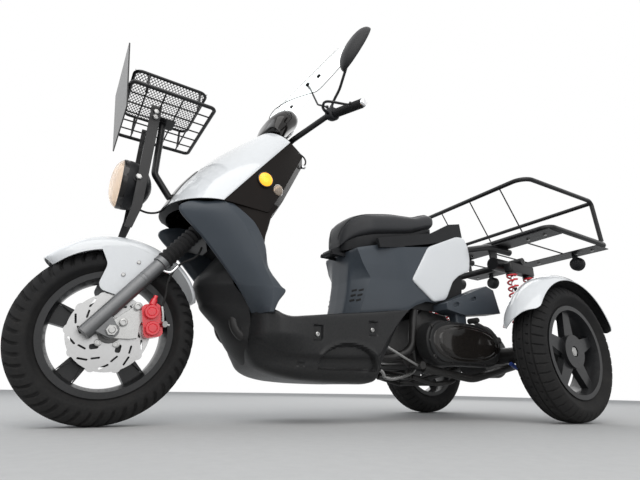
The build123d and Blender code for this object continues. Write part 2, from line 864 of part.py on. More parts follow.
# Leg shield: level sections, measured back from the front axle
shield_rows = (
    # height, nose, edge at its crease, side, back
    (cowl_low_z, 94, 164, 238, 413),
    (604, 74, 172, 262, 402),
    (520, 142, 232, 336, 394),
    (430, 222, 306, 403, 425),
    (354, 266, 360, 440, 455),
    (287, 286, 346, 409, 455),
    (207, 306, 342, 405, 440),
    (shield_low_z, 345, 372, 400, 430),
)
crease_y = 150
shield_half_w = 196
shield_back_w = 172


def shield_loft(inset, mode=Mode.ADD):
    """Leg shield body drawn in by an inset."""
    rings = []
    for height, nose, edge, side, back in shield_rows:
        with BuildSketch(Plane.XY.offset(height)) as ring:
            with BuildLine():
                front = behind(edge + inset)
                flank = behind(side + inset * 0.3)
                rear = behind(back - inset)
                ThreePointArc(
                    (front, -crease_y + inset * 0.5), (behind(nose + inset), 0), (front, crease_y - inset * 0.5)
                )
                Polyline(
                    (front, crease_y - inset * 0.5),
                    (flank, shield_half_w - inset),
                    (rear, shield_back_w - inset),
                    (rear, -shield_back_w + inset),
                    (flank, -shield_half_w + inset),
                    (front, -crease_y + inset * 0.5),
                )
            make_face()
        rings.append(ring.sketch)
    loft(sections=rings, ruled=True, mode=mode)


def well(radius, low, high, mode):
    """D-shaped prism round the steering axis, where the fork swings."""
    with BuildSketch(fork_plane(low)) as pocket:
        with Locations((steer_out, 0)):
            Circle(radius)
        with Locations((well_back - (radius - well_r) - 200, 0)):
            Rectangle(400, 2 * radius + 20, mode=Mode.SUBTRACT)
    extrude(pocket.sketch, amount=high - low, mode=mode)


with BuildPart() as leg_shield:
    shield_loft(0)
    shield_loft(wall, Mode.SUBTRACT)
    well(well_r + wall + seat_gap, 60, well_top + wall + seat_gap, Mode.SUBTRACT)
    rails(rail_r + seat_gap, Mode.SUBTRACT)
leg_shield.part.label = "leg_shield"
export_step(leg_shield.part, "parts/leg_shield.step")

# Liner of the fork well
with BuildPart() as fork_well:
    shield_loft(0)
    well(well_r + wall, 60, well_top + wall, Mode.INTERSECT)
    well(well_r, 60, well_top, Mode.SUBTRACT)
    with BuildSketch(fork_plane(head_low - 60, steer_out)):
        Circle(head_r + seat_gap)
    extrude(amount=200, mode=Mode.SUBTRACT)
    rails(rail_r + seat_gap, Mode.SUBTRACT)
fork_well.part.label = "fork_well"
export_step(fork_well.part, "parts/fork_well.step")

# Floor: hull-shaped moulding between the shield and the seat
floor_outline = [
    (behind(330), shield_low_z - 8),
    (behind(392), 134),
    (behind(571), 122),
    (behind(842), 119),
    (behind(930), 152),
    (behind(985), 240),
    (behind(1012), 330),
    (behind(1022), 392),
    (behind(756), 349),
    (behind(537), 317),
    (behind(455 + 1), 308),
    (behind(455 + 1), shield_low_z - seat_gap),
    (behind(330), shield_low_z - seat_gap),
]
with BuildPart() as floor_board:
    with BuildSketch(Plane(origin=(behind(1100), 0, 0), x_dir=(0, 1, 0), z_dir=(1, 0, 0))) as section:
        with BuildLine():
            Polyline(
                (-floor_half_w + 12, 460),
                (floor_half_w - 12, 460),
                (floor_half_w, 280),
                (floor_half_w - 8, 190),
                (floor_half_w - 60, 110),
                (-floor_half_w + 60, 110),
                (-floor_half_w + 8, 190),
                (-floor_half_w, 280),
                close=True,
            )
        make_face()
    extrude(section.sketch, amount=900)
    slab(floor_outline, -floor_half_w, floor_half_w, Mode.INTERSECT)
    rails(rail_r + seat_gap, Mode.SUBTRACT)
    for side in (1, -1):
        with BuildSketch(side_plane(side * (floor_half_w - recess_depth))) as recess:
            with Locations((behind(566), 262), (behind(780), 286)):
                RectangleRounded(36, 50, 4)
            with Locations((behind(660), 176)):
                SlotOverall(26, 12)
            with BuildLine():
                ThreePointArc((behind(832), 200), (behind(745), 236), (behind(668), 192))
                Polyline((behind(668), 192), (behind(700), 160), (behind(800), 152), (behind(832), 200))
            make_face()
        extrude(recess.sketch, amount=30, dir=(0, side, 0), mode=Mode.SUBTRACT)
floor_board.part.label = "floor_board"
export_step(floor_board.part, "parts/floor_board.step")

# Cover under the seat and tail: a thin shell, open at the tub and underneath
cover_outline = [
    (behind(669), 344),
    (behind(710), 452),
    (behind(702), 509),
    (behind(706), 566),
    (behind(762), 592),
    (behind(1108), 657),
    (behind(1282), 736),
    (behind(1327), 738),
    (behind(1347), 703),
    (behind(1353), 653),
    (behind(1344), 593),
    (behind(1272), 560),
    (behind(1232), 529),
    (behind(1185), 448),
    (behind(1117), 436),
    (behind(1062), 456),
    (behind(1000), 400),
    (behind(763), 362),
]


def cover_block(inset):
    """Cover's side outline between its two flanks, which close in towards the front."""
    half = cover_half_w - inset
    with BuildSketch(side_plane(-half)) as profile:
        with BuildLine():
            Polyline(*cover_outline, close=True)
        make_face()
        if inset:
            offset(amount=-inset, kind=Kind.INTERSECTION)
    extrude(profile.sketch, amount=2 * half, dir=(0, 1, 0))
    nose_half = cover_nose_half_w - inset
    with BuildSketch(Plane.XY.offset(300)) as plan:
        with BuildLine():
            Polyline(
                (behind(cover_kink), half),
                (behind(1400), half),
                (behind(1400), -half),
                (behind(cover_kink), -half),
                (behind(700), -nose_half),
                (behind(640), -nose_half + 8),
                (behind(640), nose_half - 8),
                (behind(700), nose_half),
                close=True,
            )
        make_face()
    extrude(plan.sketch, amount=500, mode=Mode.INTERSECT)


with BuildPart() as cover_hollow:
    cover_block(cover_wall)
with BuildPart() as seat_cover:
    cover_block(0)
    add(cover_hollow.part, mode=Mode.SUBTRACT)
    with BuildSketch(Plane.XY.offset(560)) as mouth:
        with Locations((behind((tub_front + tub_back) / 2), 0)):
            Rectangle(tub_back - tub_front + 2 * seat_gap, 2 * (tub_half_w + seat_gap))
    extrude(mouth.sketch, amount=140, mode=Mode.SUBTRACT)
    with BuildSketch(Plane.XY.offset(300)) as below:
        with Locations((behind(930), 0)):
            Rectangle(300, 2 * (cover_half_w - cover_wall))
    extrude(below.sketch, amount=150, mode=Mode.SUBTRACT)
    rails(rail_r + seat_gap, Mode.SUBTRACT)
    for side in (1, -1):
        y_low, y_high = sorted((side * 30, side * 38))
        slab(
            [(behind(hinge_back + 9), 574), (behind(hinge_back + 9), hinge_z), (behind(hinge_back - 9), hinge_z),
             (behind(hinge_back - 9), 567)],
            y_low,
            y_high,
        )
        disc(behind(hinge_back), hinge_z, y_low, y_high, 9)
    disc(behind(hinge_back), hinge_z, -50, 50, hinge_r + fit_gap, Mode.SUBTRACT)
    with BuildSketch(side_plane(-cover_half_w - 1)) as vents:
        for back, high in ((728, 452), (734, 424)):
            with Locations((behind(back), high)):
                SlotOverall(34, 11, rotation=10)
    extrude(vents.sketch, amount=2 * cover_half_w + 2, dir=(0, 1, 0), mode=Mode.SUBTRACT)
seat_cover.part.label = "seat_cover"
export_step(seat_cover.part, "parts/seat_cover.step")

# Storage tub under the seat
tub_outline = [
    (behind(tub_front), tub_low),
    (behind(tub_back), tub_low),
    (behind(tub_back), 633),
    (behind(tub_front), 585),
]
with BuildPart() as storage_tub:
    slab(tub_outline, -tub_half_w, tub_half_w)
    slab(
        [
            (behind(tub_front + cover_wall), tub_low + cover_wall),
            (behind(tub_back - cover_wall), tub_low + cover_wall),
            (behind(tub_back - cover_wall), 700),
            (behind(tub_front + cover_wall), 700),
        ],
        -tub_half_w + cover_wall,
        tub_half_w - cover_wall,
        Mode.SUBTRACT,
    )
storage_tub.part.label = "storage_tub"
export_step(storage_tub.part, "parts/storage_tub.step")

# White side panels over the tail
panel_outline = [
    (behind(1282), 736),
    (behind(1327), 738),
    (behind(1347), 703),
    (behind(1353), 653),
    (behind(1344), 593),
    (behind(1272), 560),
    (behind(1232), 529),
    (behind(1185), 448),
    (behind(1117), 432),
    (behind(1009), 505),
    (behind(1108), 657),
]
near = cover_half_w + seat_gap
with BuildPart() as side_panels:
    for side in (1, -1):
        slab(panel_outline, *sorted((side * near, side * (near + panel_t))))
    rims = side_panels.faces().filter_by(Axis.Y).filter_by(lambda f: abs(f.center().Y) > near + panel_t - 1)
    chamfer(rims.edges(), panel_t - 2)
side_panels.part.label = "side_panels"
export_step(side_panels.part, "parts/side_panels.step")

# Grab rail round the back of the seat
grab_outline = [
    (behind(850), 646),
    (behind(1132), 722),
    (behind(1242), 785),
    (behind(1313), 803),
    (behind(1322), 738 + seat_gap),
    (behind(1282), 736 + seat_gap),
    (behind(1108), 657 + seat_gap),
    (behind(860), 611),
]
grab_in = seat_half_w + 8
with BuildPart() as grab_rail:
    for side in (1, -1):
        slab(grab_outline, *sorted((side * grab_in, side * (grab_in + 14))))
    slab(
        [(behind(1262), 786), (behind(1310), 800), (behind(1318), 760), (behind(1280), 752)],
        -grab_in,
        grab_in,
    )
grab_rail.part.label = "grab_rail"
export_step(grab_rail.part, "parts/grab_rail.step")

# Seat: base with its hinge pin, and the cushion
with BuildPart() as seat_base:
    slab(
        [
            (behind(706), 620),
            (behind(752), 610),
            (behind(1108), 672),
            (behind(1188), 708),
            (behind(1188), 762),
            (behind(1143), 750),
            (behind(1032), 706),
            (behind(789), 656),
            (behind(708), 627),
        ],
        -120,
        120,
    )
    slab(
        [(behind(hinge_back + 8), hinge_z), (behind(hinge_back + 8), 622), (behind(hinge_back - 8), 624),
         (behind(hinge_back - 8), hinge_z)],
        -28,
        28,
    )
    disc(behind(hinge_back), hinge_z, -28, 28, 8)
    disc(behind(hinge_back), hinge_z, -40, 40, hinge_r)
seat_base.part.label = "seat_base"
export_step(seat_base.part, "parts/seat_base.step")

cushion_outline = [
    (behind(695), 612),
    (behind(690), 650),
    (behind(706), 706),
    (behind(740), 748),
    (behind(790), 770),
    (behind(870), 776),
    (behind(949), 794),
    (behind(1050), 802),
    (behind(1160), 838),
    (behind(1198), 834),
    (behind(1205), 806),
    (behind(1190), 765),
    (behind(1143), 750 + seat_gap),
    (behind(1032), 706 + seat_gap),
    (behind(789), 656 + seat_gap),
    (behind(708), 627 + seat_gap),
]
with BuildPart() as seat_cushion:
    slab(cushion_outline, -seat_half_w, seat_half_w)
    top_edges = seat_cushion.edges().filter_by(GeomType.LINE).filter_by(
        lambda e: abs(abs(e.center().Y) - seat_half_w) < 1 and abs(e.tangent_at(0).Y) < 0.1
    ).filter_by(lambda e: e.center().Z > 640 and e.center().X < behind(700) and e.center().Z > 700)
    chamfer(top_edges, 18)
seat_cushion.part.label = "seat_cushion"
export_step(seat_cushion.part, "parts/seat_cushion.step")

# Engine: one plain block between the rails
with BuildPart() as engine_block:
    slab(
        [
            (behind(1064), 190),
            (behind(1064), 372),
            (behind(1120), 412),
            (behind(1250), 400),
            (behind(1300), 320),
            (behind(1300), 200),
        ],
        -95,
        95,
    )
engine_block.part.label = "engine_block"
export_step(engine_block.part, "parts/engine_block.step")

# Transmission case on the left, with its belt cover
case_low = 196
case_high = 357
case_r = (case_high - case_low) / 2
case_front = 1032
case_back = wheelbase - 131
with BuildPart() as transmission_case:
    with BuildSketch(side_plane(134)) as case:
        with Locations((behind((case_front + case_back) / 2), (case_low + case_high) / 2)):
            SlotOverall(case_back - case_front, case_high - case_low)
    extrude(case.sketch, amount=64, dir=(0, 1, 0))
    with BuildSketch(side_plane(198)) as lid:
        with Locations((behind((case_front + case_back) / 2), (case_low + case_high) / 2)):
            SlotOverall(case_back - case_front - 36, case_high - case_low - 36)
    extrude(lid.sketch, amount=10, dir=(0, 1, 0))
    slab(
        [(behind(1090), 230), (behind(1090), 330), (behind(1290), 330), (behind(1290), 230)],
        95 + seat_gap,
        134,
    )
    fan_x = behind(case_front + case_r)
    fan_z = (case_low + case_high) / 2
    disc(fan_x, fan_z, 208, 222, fan_r)
    with BuildSketch(side_plane(215)) as louvres:
        with Locations((fan_x, fan_z)):
            with PolarLocations(fan_r * 0.62, fan_slots):
                SlotOverall(fan_r * 0.52, 7, mode=Mode.ADD)
    extrude(louvres.sketch, amount=8, dir=(0, 1, 0), mode=Mode.SUBTRACT)
transmission_case.part.label = "transmission_case"
export_step(transmission_case.part, "parts/transmission_case.step")

# Air filter box above the transmission
with BuildPart() as air_filter_box:
    slab(
        [
            (behind(1143), 400),
            (behind(1143), 426),
            (behind(1388), 524),
            (behind(1432), 512),
            (behind(1462), 416),
            (behind(1244), 387),
        ],
        128,
        204,
    )
    with BuildSketch(Plane.XY.offset(case_high + seat_gap)) as duct:
        with Locations((behind(1240), 166)):
            RectangleRounded(60, 40, 8)
    extrude(duct.sketch, amount=44)
    with BuildSketch(side_plane(204 - recess_depth)) as slots:
        for back, high in ((1196, 424), (1300, 458)):
            with Locations((behind(back), high)):
                SlotOverall(38, 15, rotation=-21)
    extrude(slots.sketch, amount=recess_depth, dir=(0, 1, 0), mode=Mode.SUBTRACT)
air_filter_box.part.label = "air_filter_box"
export_step(air_filter_box.part, "parts/air_filter_box.step")

# Exhaust on the right
with BuildPart() as exhaust:
    tube(
        [
            (behind(1110), -95 - seat_gap, 230),
            (behind(1110), -190, 230),
            (behind(1180), -212, 262),
            (behind(1230), -212, 280),
        ],
        14,
        [40, 30],
    )
    with BuildSketch(Plane(origin=(behind(1190), -212, 280), z_dir=(-1, 0, 0.12))) as can:
        Circle(48)
    extrude(can.sketch, amount=262)
exhaust.part.label = "exhaust"
export_step(exhaust.part, "parts/exhaust.step")

def on_rear(turn, reach, y):
    """Point at an angle and a distance from the rear axle."""
    return (rear_axle_x + cos(radians(turn)) * reach, y, rear_tyre_r + sin(radians(turn)) * reach)


# Rear axle: tube with its gear case, shock brackets, fender stays and trailing arms
rear_fender_r = rear_tyre_r + rear_fender_gap
with BuildPart() as rear_axle_unit:
    disc(rear_axle_x, rear_tyre_r, -wheel_y + 58, wheel_y - 58, axle_tube_r)
    disc(rear_axle_x, rear_tyre_r, -70, 70, 92)
    slab(
        [
            (behind(1300 + seat_gap), 210),
            (behind(1300 + seat_gap), 310),
            (astern(-14), 300),
            (astern(-14), 210),
        ],
        -60,
        60,
    )
    for side in (1, -1):
        slab(
            [
                (astern(-62), 262),
                (astern(-62), shock_low),
                (astern(90), shock_low),
                (astern(90), 262),
            ],
            *sorted((side * (shock_y - 26), side * (shock_y + 26))),
        )
        stay_y = side * (wheel_y - rear_fender_in - 7 - seat_gap)
        for turn in (62, 118):
            tube([on_rear(turn, 22, stay_y), on_rear(turn, rear_fender_r - 18, stay_y)], 7)
        tube(
            [
                (behind(1036 + 14 + seat_gap), side * 150, rail_z - 32),
                (astern(-261), side * 150, 150),
                (astern(6), side * 150, rear_tyre_r - axle_tube_r - 12),
            ],
            15,
            200,
        )
    disc(rear_axle_x, rear_tyre_r, -wheel_y, wheel_y, rear_shaft_r + fit_gap, Mode.SUBTRACT)
rear_axle_unit.part.label = "rear_axle_unit"
export_step(rear_axle_unit.part, "parts/rear_axle_unit.step")

# Centre stand, folded up under the engine
stand_x = behind(1036)
stand_z = rail_z - 24 - 14 - seat_gap
with BuildPart() as centre_stand:
    for side in (1, -1):
        slab(
            [
                (stand_x - 14, stand_z),
                (stand_x + 14, stand_z),
                (stand_x + 10, stand_z - 30),
                (stand_x - 18, stand_z - 30),
            ],
            *sorted((side * 84, side * 92)),
        )
        tube(
            [
                (stand_x - 4, side * 98, stand_z - 24),
                (stand_x - 120, side * 100, stand_z - 48),
                (stand_x - 188, side * 112, stand_z - 40),
                (stand_x - 214, side * 112, stand_z - 30),
            ],
            9,
            [40, 24],
        )
    tube([(stand_x - 4, -100, stand_z - 24), (stand_x - 4, 100, stand_z - 24)], 10)
    tube([(stand_x - 120, -100, stand_z - 48), (stand_x - 120, 100, stand_z - 48)], 7)
centre_stand.part.label = "centre_stand"
export_step(centre_stand.part, "parts/centre_stand.step")

# Shock absorbers: two a side, before and behind the axle
with BuildPart() as shock_absorbers:
    for side in (1, -1):
        for back in (shock_back - shock_apart / 2, shock_back + shock_apart / 2):
            foot = (astern(back), side * shock_y, shock_low + seat_gap)
            with BuildSketch(Plane(origin=foot)) as body:
                Circle(shock_r)
            extrude(body.sketch, amount=yoke_z - shock_low)
        with BuildSketch(Plane.XY.offset(yoke_z)) as yoke:
            with Locations((astern(shock_back), side * shock_y)):
                RectangleRounded(shock_apart + 2 * shock_r + 2, 40, 12)
        extrude(yoke.sketch, amount=cross_z - cross_r - yoke_z - seat_gap)
shock_absorbers.part.label = "shock_absorbers"
export_step(shock_absorbers.part, "parts/shock_absorbers.step")

# Rear fenders
with BuildPart() as rear_fenders:
    for side in (1, -1):
        edges_y = sorted((side * (wheel_y - rear_fender_in), side * (wheel_y + rear_fender_out)))
        arch(rear_axle_x, rear_tyre_r, rear_fender_r, *edges_y, 34, 20, 160)
rear_fenders.part.label = "rear_fenders"
export_step(rear_fenders.part, "parts/rear_fenders.step")

# Rear rack: tube frame with its wires, then the broad plates, then the guard rail
rack_mid = (rack_front + wheelbase + rack_overhang) / 2
rack_half_l = (wheelbase + rack_overhang - rack_front) / 2
with BuildPart() as rack_frame:
    hoop(
        rack_half_l - rack_tube_r,
        rack_half_w - rack_tube_r,
        (behind(rack_mid), 0, rack_z),
        40,
        rack_tube_r,
    )
    for y in (-200, 0, 200):
        tube(
            [
                (behind(rack_front + rack_tube_r), y, rack_z),
                (behind(wheelbase + rack_overhang - rack_tube_r), y, rack_z),
            ],
            rack_wire_r,
        )
rack_frame.part.label = "rack_frame"
export_step(rack_frame.part, "parts/rack_frame.step")

plate_low_z = rack_z - rack_tube_r - rack_plate_t
with BuildPart() as rack_plates:
    for back in (rack_front, wheelbase + rack_overhang - rack_plate_w):
        with BuildSketch(Plane.XY.offset(rack_z - rack_tube_r - rack_plate_t)) as plate:
            with Locations((behind(back + rack_plate_w / 2), 0)):
                Rectangle(rack_plate_w, 2 * (rack_half_w - rack_tube_r))
                with Locations((0, rack_bolt_y), (0, -rack_bolt_y)):
                    Circle(rack_bolt_r, mode=Mode.SUBTRACT)
        extrude(plate.sketch, amount=rack_plate_t)
rack_plates.part.label = "rack_plates"
export_step(rack_plates.part, "parts/rack_plates.step")

guard_y = rack_half_w - rack_tube_r
guard_foot_z = rack_z + rack_tube_r + 1.7
guard_back = wheelbase + rack_overhang - 80
lamp_back_x = behind(wheelbase + rack_overhang - 60)
with BuildPart() as rack_guard:
    tube(
        [
            (behind(guard_back + 26), guard_y, guard_foot_z),
            (behind(guard_back), guard_y, guard_z + 20),
            (behind(guard_front), guard_y, guard_z),
            (behind(guard_front), -guard_y, guard_z),
            (behind(guard_back), -guard_y, guard_z + 20),
            (behind(guard_back + 26), -guard_y, guard_foot_z),
        ],
        guard_r,
        [30, 60, 60, 30],
    )
    tube([(behind(guard_back), -guard_y, guard_z + 10), (behind(guard_back), guard_y, guard_z + 10)], guard_r)
    for y in (-260, -90, 90, 260):
        tube([(behind(guard_front + 4), y, guard_z), (behind(rack_front + rack_tube_r), y, guard_foot_z + 0.3)], 3)
rack_guard.part.label = "rack_guard"
export_step(rack_guard.part, "parts/rack_guard.step")

# Rear lamps under the rack
with BuildPart() as rear_lamps:
    for side in (1, -1):
        with BuildSketch(Plane(origin=(lamp_back_x, side * 250, plate_low_z - 48), z_dir=(-1, 0, 0))) as lamp:
            Circle(34)
        extrude(lamp.sketch, amount=40)
        stem_top = plate_low_z - seat_gap
        slab(
            [(lamp_back_x - 2, stem_top - 30), (lamp_back_x - 2, stem_top), (lamp_back_x - 22, stem_top),
             (lamp_back_x - 22, stem_top - 30)],
            *sorted((side * 240, side * 260)),
        )
rear_lamps.part.label = "rear_lamps"
export_step(rear_lamps.part, "parts/rear_lamps.step")

# Front carrier: bar frame with a grid floor
carrier_mid = (carrier_back - carrier_front) / 2
carrier_half_l = (carrier_back + carrier_front) / 2
with BuildPart() as front_carrier:
    hoop(
        carrier_half_l - carrier_r,
        carrier_half_w - carrier_r,
        (behind(carrier_mid), 0, carrier_z),
        16,
        carrier_r,
    )
    for y in (-110, -55, 0, 55, 110):
        tube([(behind(-carrier_front + 6), y, carrier_z), (behind(carrier_back - 6), y, carrier_z)], carrier_wire_r)
    for n in range(1, 5):
        x = behind(-carrier_front + n * 2 * carrier_half_l / 5)
        tube([(x, -carrier_half_w + 6, carrier_z), (x, carrier_half_w - 6, carrier_z)], carrier_wire_r)
        if n in (1, 4):
            for y in (5 - deck_half_w, deck_half_w - 5):
                tube([(x, y, carrier_z), (x, y, deck_z - 5 - seat_gap)], 4)
front_carrier.part.label = "front_carrier"
export_step(front_carrier.part, "parts/front_carrier.step")

# Mesh deck above the carrier
with BuildPart() as mesh_deck:
    deck_mid = (deck_back - deck_front) / 2
    deck_half_l = (deck_back + deck_front) / 2
    hoop(deck_half_l - 5, deck_half_w - 5, (behind(deck_mid), 0, deck_z), 24, 5)
    with BuildSketch(Plane.XY.offset(deck_z - 1)) as mesh:
        with Locations((behind(deck_mid), 0)):
            Rectangle(2 * deck_half_l - 12, 2 * deck_half_w - 12)
            with GridLocations(44, 30, 5, 8):
                Polygon((-18, 0), (0, -11), (18, 0), (0, 11), mode=Mode.SUBTRACT)
            with GridLocations(44, 30, 4, 7):
                Polygon((-18, 0), (0, -11), (18, 0), (0, 11), mode=Mode.SUBTRACT)
    extrude(mesh.sketch, amount=2)
mesh_deck.part.label = "mesh_deck"
export_step(mesh_deck.part, "parts/mesh_deck.step")

# Upright plate ahead of the carrier
with BuildPart() as front_plate:
    lean = 0.12
    foot_x = front_axle_x + carrier_front + seat_gap + (front_plate_low - carrier_z) * lean
    top_x = foot_x + (front_plate_top - front_plate_low) * lean
    slab(
        [
            (foot_x, front_plate_low),
            (top_x, front_plate_top),
            (top_x + 4, front_plate_top),
            (foot_x + 4, front_plate_low),
        ],
        -150,
        150,
    )
front_plate.part.label = "front_plate"
export_step(front_plate.part, "parts/front_plate.step")

# Stay from the steering head out to the carrier
with BuildPart() as carrier_stay:
    tube(stay_route, stay_r, 30)
    with BuildSketch(Plane(origin=stay_route[-1])) as pad:
        RectangleRounded(72, 64, 8)
    extrude(pad.sketch, amount=-4)
carrier_stay.part.label = "carrier_stay"
export_step(carrier_stay.part, "parts/carrier_stay.step")

# Headlight: dished shell, black rim, and the two flat bars it hangs on
lamp_x = front_axle_x
with BuildPart() as headlight_housing:
    with BuildSketch(Plane(origin=(lamp_x, 0, lamp_z), x_dir=(1, 0, 0), z_dir=(0, -1, 0))) as shell:
        with BuildLine():
            Line((lamp_front - 34, 0), (lamp_front - 34, lamp_r))
            ThreePointArc((lamp_front - 34, lamp_r), (-lamp_back + 22, 54), (-lamp_back, 8))
            Polyline((-lamp_back, 8), (-lamp_back, 0), (lamp_front - 34, 0))
        make_face()
    revolve(shell.sketch, axis=Axis((lamp_x, 0, lamp_z), (1, 0, 0)))
    disc(lamp_x, lamp_z, -lamp_r, lamp_r, 13)
headlight_housing.part.label = "headlight_housing"
export_step(headlight_housing.part, "parts/headlight_housing.step")

with BuildPart() as headlight_lens:
    with BuildSketch(Plane(origin=(lamp_x, 0, lamp_z), x_dir=(1, 0, 0), z_dir=(0, -1, 0))) as lens:
        with BuildLine():
            Line((lamp_front - 34 + seat_gap, 0), (lamp_front - 34 + seat_gap, lamp_r - 2))
            ThreePointArc((lamp_front - 34 + seat_gap, lamp_r - 2), (lamp_front - 8, 48), (lamp_front, 6))
            Polyline((lamp_front, 6), (lamp_front, 0), (lamp_front - 34 + seat_gap, 0))
        make_face()
    revolve(lens.sketch, axis=Axis((lamp_x, 0, lamp_z), (1, 0, 0)))
headlight_lens.part.label = "headlight_lens"
export_step(headlight_lens.part, "parts/headlight_lens.step")

with BuildPart() as lamp_bracket:
    for side in (1, -1):
        y_low, y_high = sorted((side * (lamp_r + seat_gap), side * (lamp_r + 6)))
        slab(
            [
                (behind(36), carrier_z - carrier_wire_r - seat_gap),
                (behind(4), carrier_z - carrier_wire_r - seat_gap),
                (behind(-2), 600),
                (behind(-12), 530),
                (behind(8), 530),
                (behind(26), 600),
            ],
            y_low,
            y_high,
        )
lamp_bracket.part.label = "lamp_bracket"
export_step(lamp_bracket.part, "parts/lamp_bracket.step")
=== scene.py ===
import math
import bmesh
import bpy
import numpy as np
from mathutils import Matrix, Vector


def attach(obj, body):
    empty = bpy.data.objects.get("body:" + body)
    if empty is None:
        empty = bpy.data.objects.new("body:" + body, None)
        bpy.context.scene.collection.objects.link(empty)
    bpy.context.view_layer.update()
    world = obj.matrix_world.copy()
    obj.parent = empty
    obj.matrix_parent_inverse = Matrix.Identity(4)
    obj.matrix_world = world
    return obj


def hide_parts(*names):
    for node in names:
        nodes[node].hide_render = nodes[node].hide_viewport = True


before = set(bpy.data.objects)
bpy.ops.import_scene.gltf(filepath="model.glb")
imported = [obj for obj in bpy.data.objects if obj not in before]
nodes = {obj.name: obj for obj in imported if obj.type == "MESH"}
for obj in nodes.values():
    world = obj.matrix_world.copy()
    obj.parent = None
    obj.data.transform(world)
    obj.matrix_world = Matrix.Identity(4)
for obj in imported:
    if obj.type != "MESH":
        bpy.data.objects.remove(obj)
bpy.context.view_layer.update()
print("stage: frame loaded,", len(nodes), "nodes")

# Stations in metres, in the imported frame: +X forwards, +Y to the rider's left, +Z up
axles = {"frontX": 0.93175, "frontZ": 0.2365, "rearX": -0.64225, "rearZ": 0.254, "rearY": 0.38,
    "rake": math.radians(37.7)}
sinRake, cosRake = math.sin(axles["rake"]), math.cos(axles["rake"])
frontX, frontZ, rearX, rearZ = 931.75, 236.5, -642.25, 254.0  # the same stations in millimetres


def row(back, left, up):  # millimetres behind the front axle, to the left and up, as metres in the frame
    back, left, up = np.broadcast_arrays(np.asarray(back, float), left, up)
    return np.stack([axles["frontX"] - back / 1000, left / 1000, up / 1000], -1)


def fork(out, left, along):  # millimetres ahead of the steering axis' foot, to the left, and up along it
    out, left, along = np.broadcast_arrays(np.asarray(out, float), left, along)
    x = axles["frontX"] + (out * cosRake - along * sinRake) / 1000
    return np.stack([x, left / 1000, axles["frontZ"] + (out * sinRake + along * cosRake) / 1000], -1)


def circle(count):  # evenly spaced turns, with the last one short of a full circle
    return np.linspace(0, 2 * np.pi, count, endpoint=False)


def power(value, exponent):  # the size raised to a power, the sign kept
    return np.sign(value) * np.abs(value) ** exponent


def bothSides(make):  # one part for the left (1) and one for the right (-1)
    return [make(side) for side in (1, -1)]


# node groups shared by the materials

def newGroup(name, colours, floats, outs):  # a group with a vector, colours and numbers coming in
    tree = bpy.data.node_groups.new(name, "ShaderNodeTree")
    tree.interface.new_socket(name="Vector", in_out="INPUT", socket_type="NodeSocketVector")
    for kind, values in (("NodeSocketColor", colours), ("NodeSocketFloat", floats)):
        for label, value in values.items():
            tree.interface.new_socket(name=label, in_out="INPUT", socket_type=kind).default_value = value
    for label, kind in outs:
        tree.interface.new_socket(name=label, in_out="OUTPUT", socket_type=kind)
    return tree, tree.nodes.new("NodeGroupInput"), tree.nodes.new("NodeGroupOutput")


def setInput(tree, socket, value):  # a socket is linked, anything else is set as the value
    if isinstance(value, bpy.types.NodeSocket):
        tree.links.new(value, socket)
    else:
        socket.default_value = value


def mathNode(tree, op, a, b, clamp=False):  # one sum of two numbers or sockets
    n = tree.nodes.new("ShaderNodeMath")
    n.operation = op
    n.use_clamp = clamp
    setInput(tree, n.inputs[0], a)
    setInput(tree, n.inputs[1], b)
    return n.outputs[0]


def noiseNode(tree, vector, scale, detail=3.0, rough=0.55):  # fractal noise about a half
    n = tree.nodes.new("ShaderNodeTexNoise")
    for label, value in (("Vector", vector), ("Scale", scale), ("Detail", detail), ("Roughness", rough)):
        setInput(tree, n.inputs[label], value)
    return n.outputs["Fac"]


def mixColour(tree, fac, a, b):  # colour a where the share is 0, b where it is 1
    n = tree.nodes.new("ShaderNodeMix")
    n.data_type = "RGBA"
    for i, value in ((0, fac), (6, a), (7, b)):
        setInput(tree, n.inputs[i], value)
    return n.outputs[2]


def buildWeather():
    # blotches of a second tone and a little dust towards the ground: noise at two sizes, and height as a ramp
    colours = {"Tone": (0.1, 0.1, 0.1, 1), "Blotch": (0.2, 0.2, 0.2, 1), "Dust": (0.3, 0.27, 0.23, 1)}
    floats = {"Size": 14.0, "Amount": 0.3, "Dusty": 0.1, "Matt": 0.4}
    tree, gin, gout = newGroup("weather", colours, floats, [("Color", "NodeSocketColor"),
        ("Roughness", "NodeSocketFloat")])
    big = noiseNode(tree, gin.outputs["Vector"], gin.outputs["Size"], 4.0)
    fine = noiseNode(tree, gin.outputs["Vector"], 160.0, 3.0)
    spread = mathNode(tree, "MULTIPLY", mathNode(tree, "SUBTRACT", big, 0.45, True), 3.0, True)
    toned = mixColour(tree, mathNode(tree, "MULTIPLY", spread, gin.outputs["Amount"]), gin.outputs["Tone"],
        gin.outputs["Blotch"])
    split = tree.nodes.new("ShaderNodeSeparateXYZ")
    tree.links.new(gin.outputs["Vector"], split.inputs[0])
    low = mathNode(tree, "SUBTRACT", 1.0, mathNode(tree, "MULTIPLY", split.outputs[2], 1.7, True), True)
    film = mathNode(tree, "MULTIPLY", mathNode(tree, "MULTIPLY", low, fine), gin.outputs["Dusty"], True)
    tree.links.new(mixColour(tree, film, toned, gin.outputs["Dust"]), gout.inputs["Color"])
    worn = mathNode(tree, "ADD", gin.outputs["Matt"], mathNode(tree, "MULTIPLY",
        mathNode(tree, "SUBTRACT", fine, 0.5), 0.16))
    tree.links.new(mathNode(tree, "ADD", worn, mathNode(tree, "MULTIPLY", film, 0.5), True),
        gout.inputs["Roughness"])
    return tree


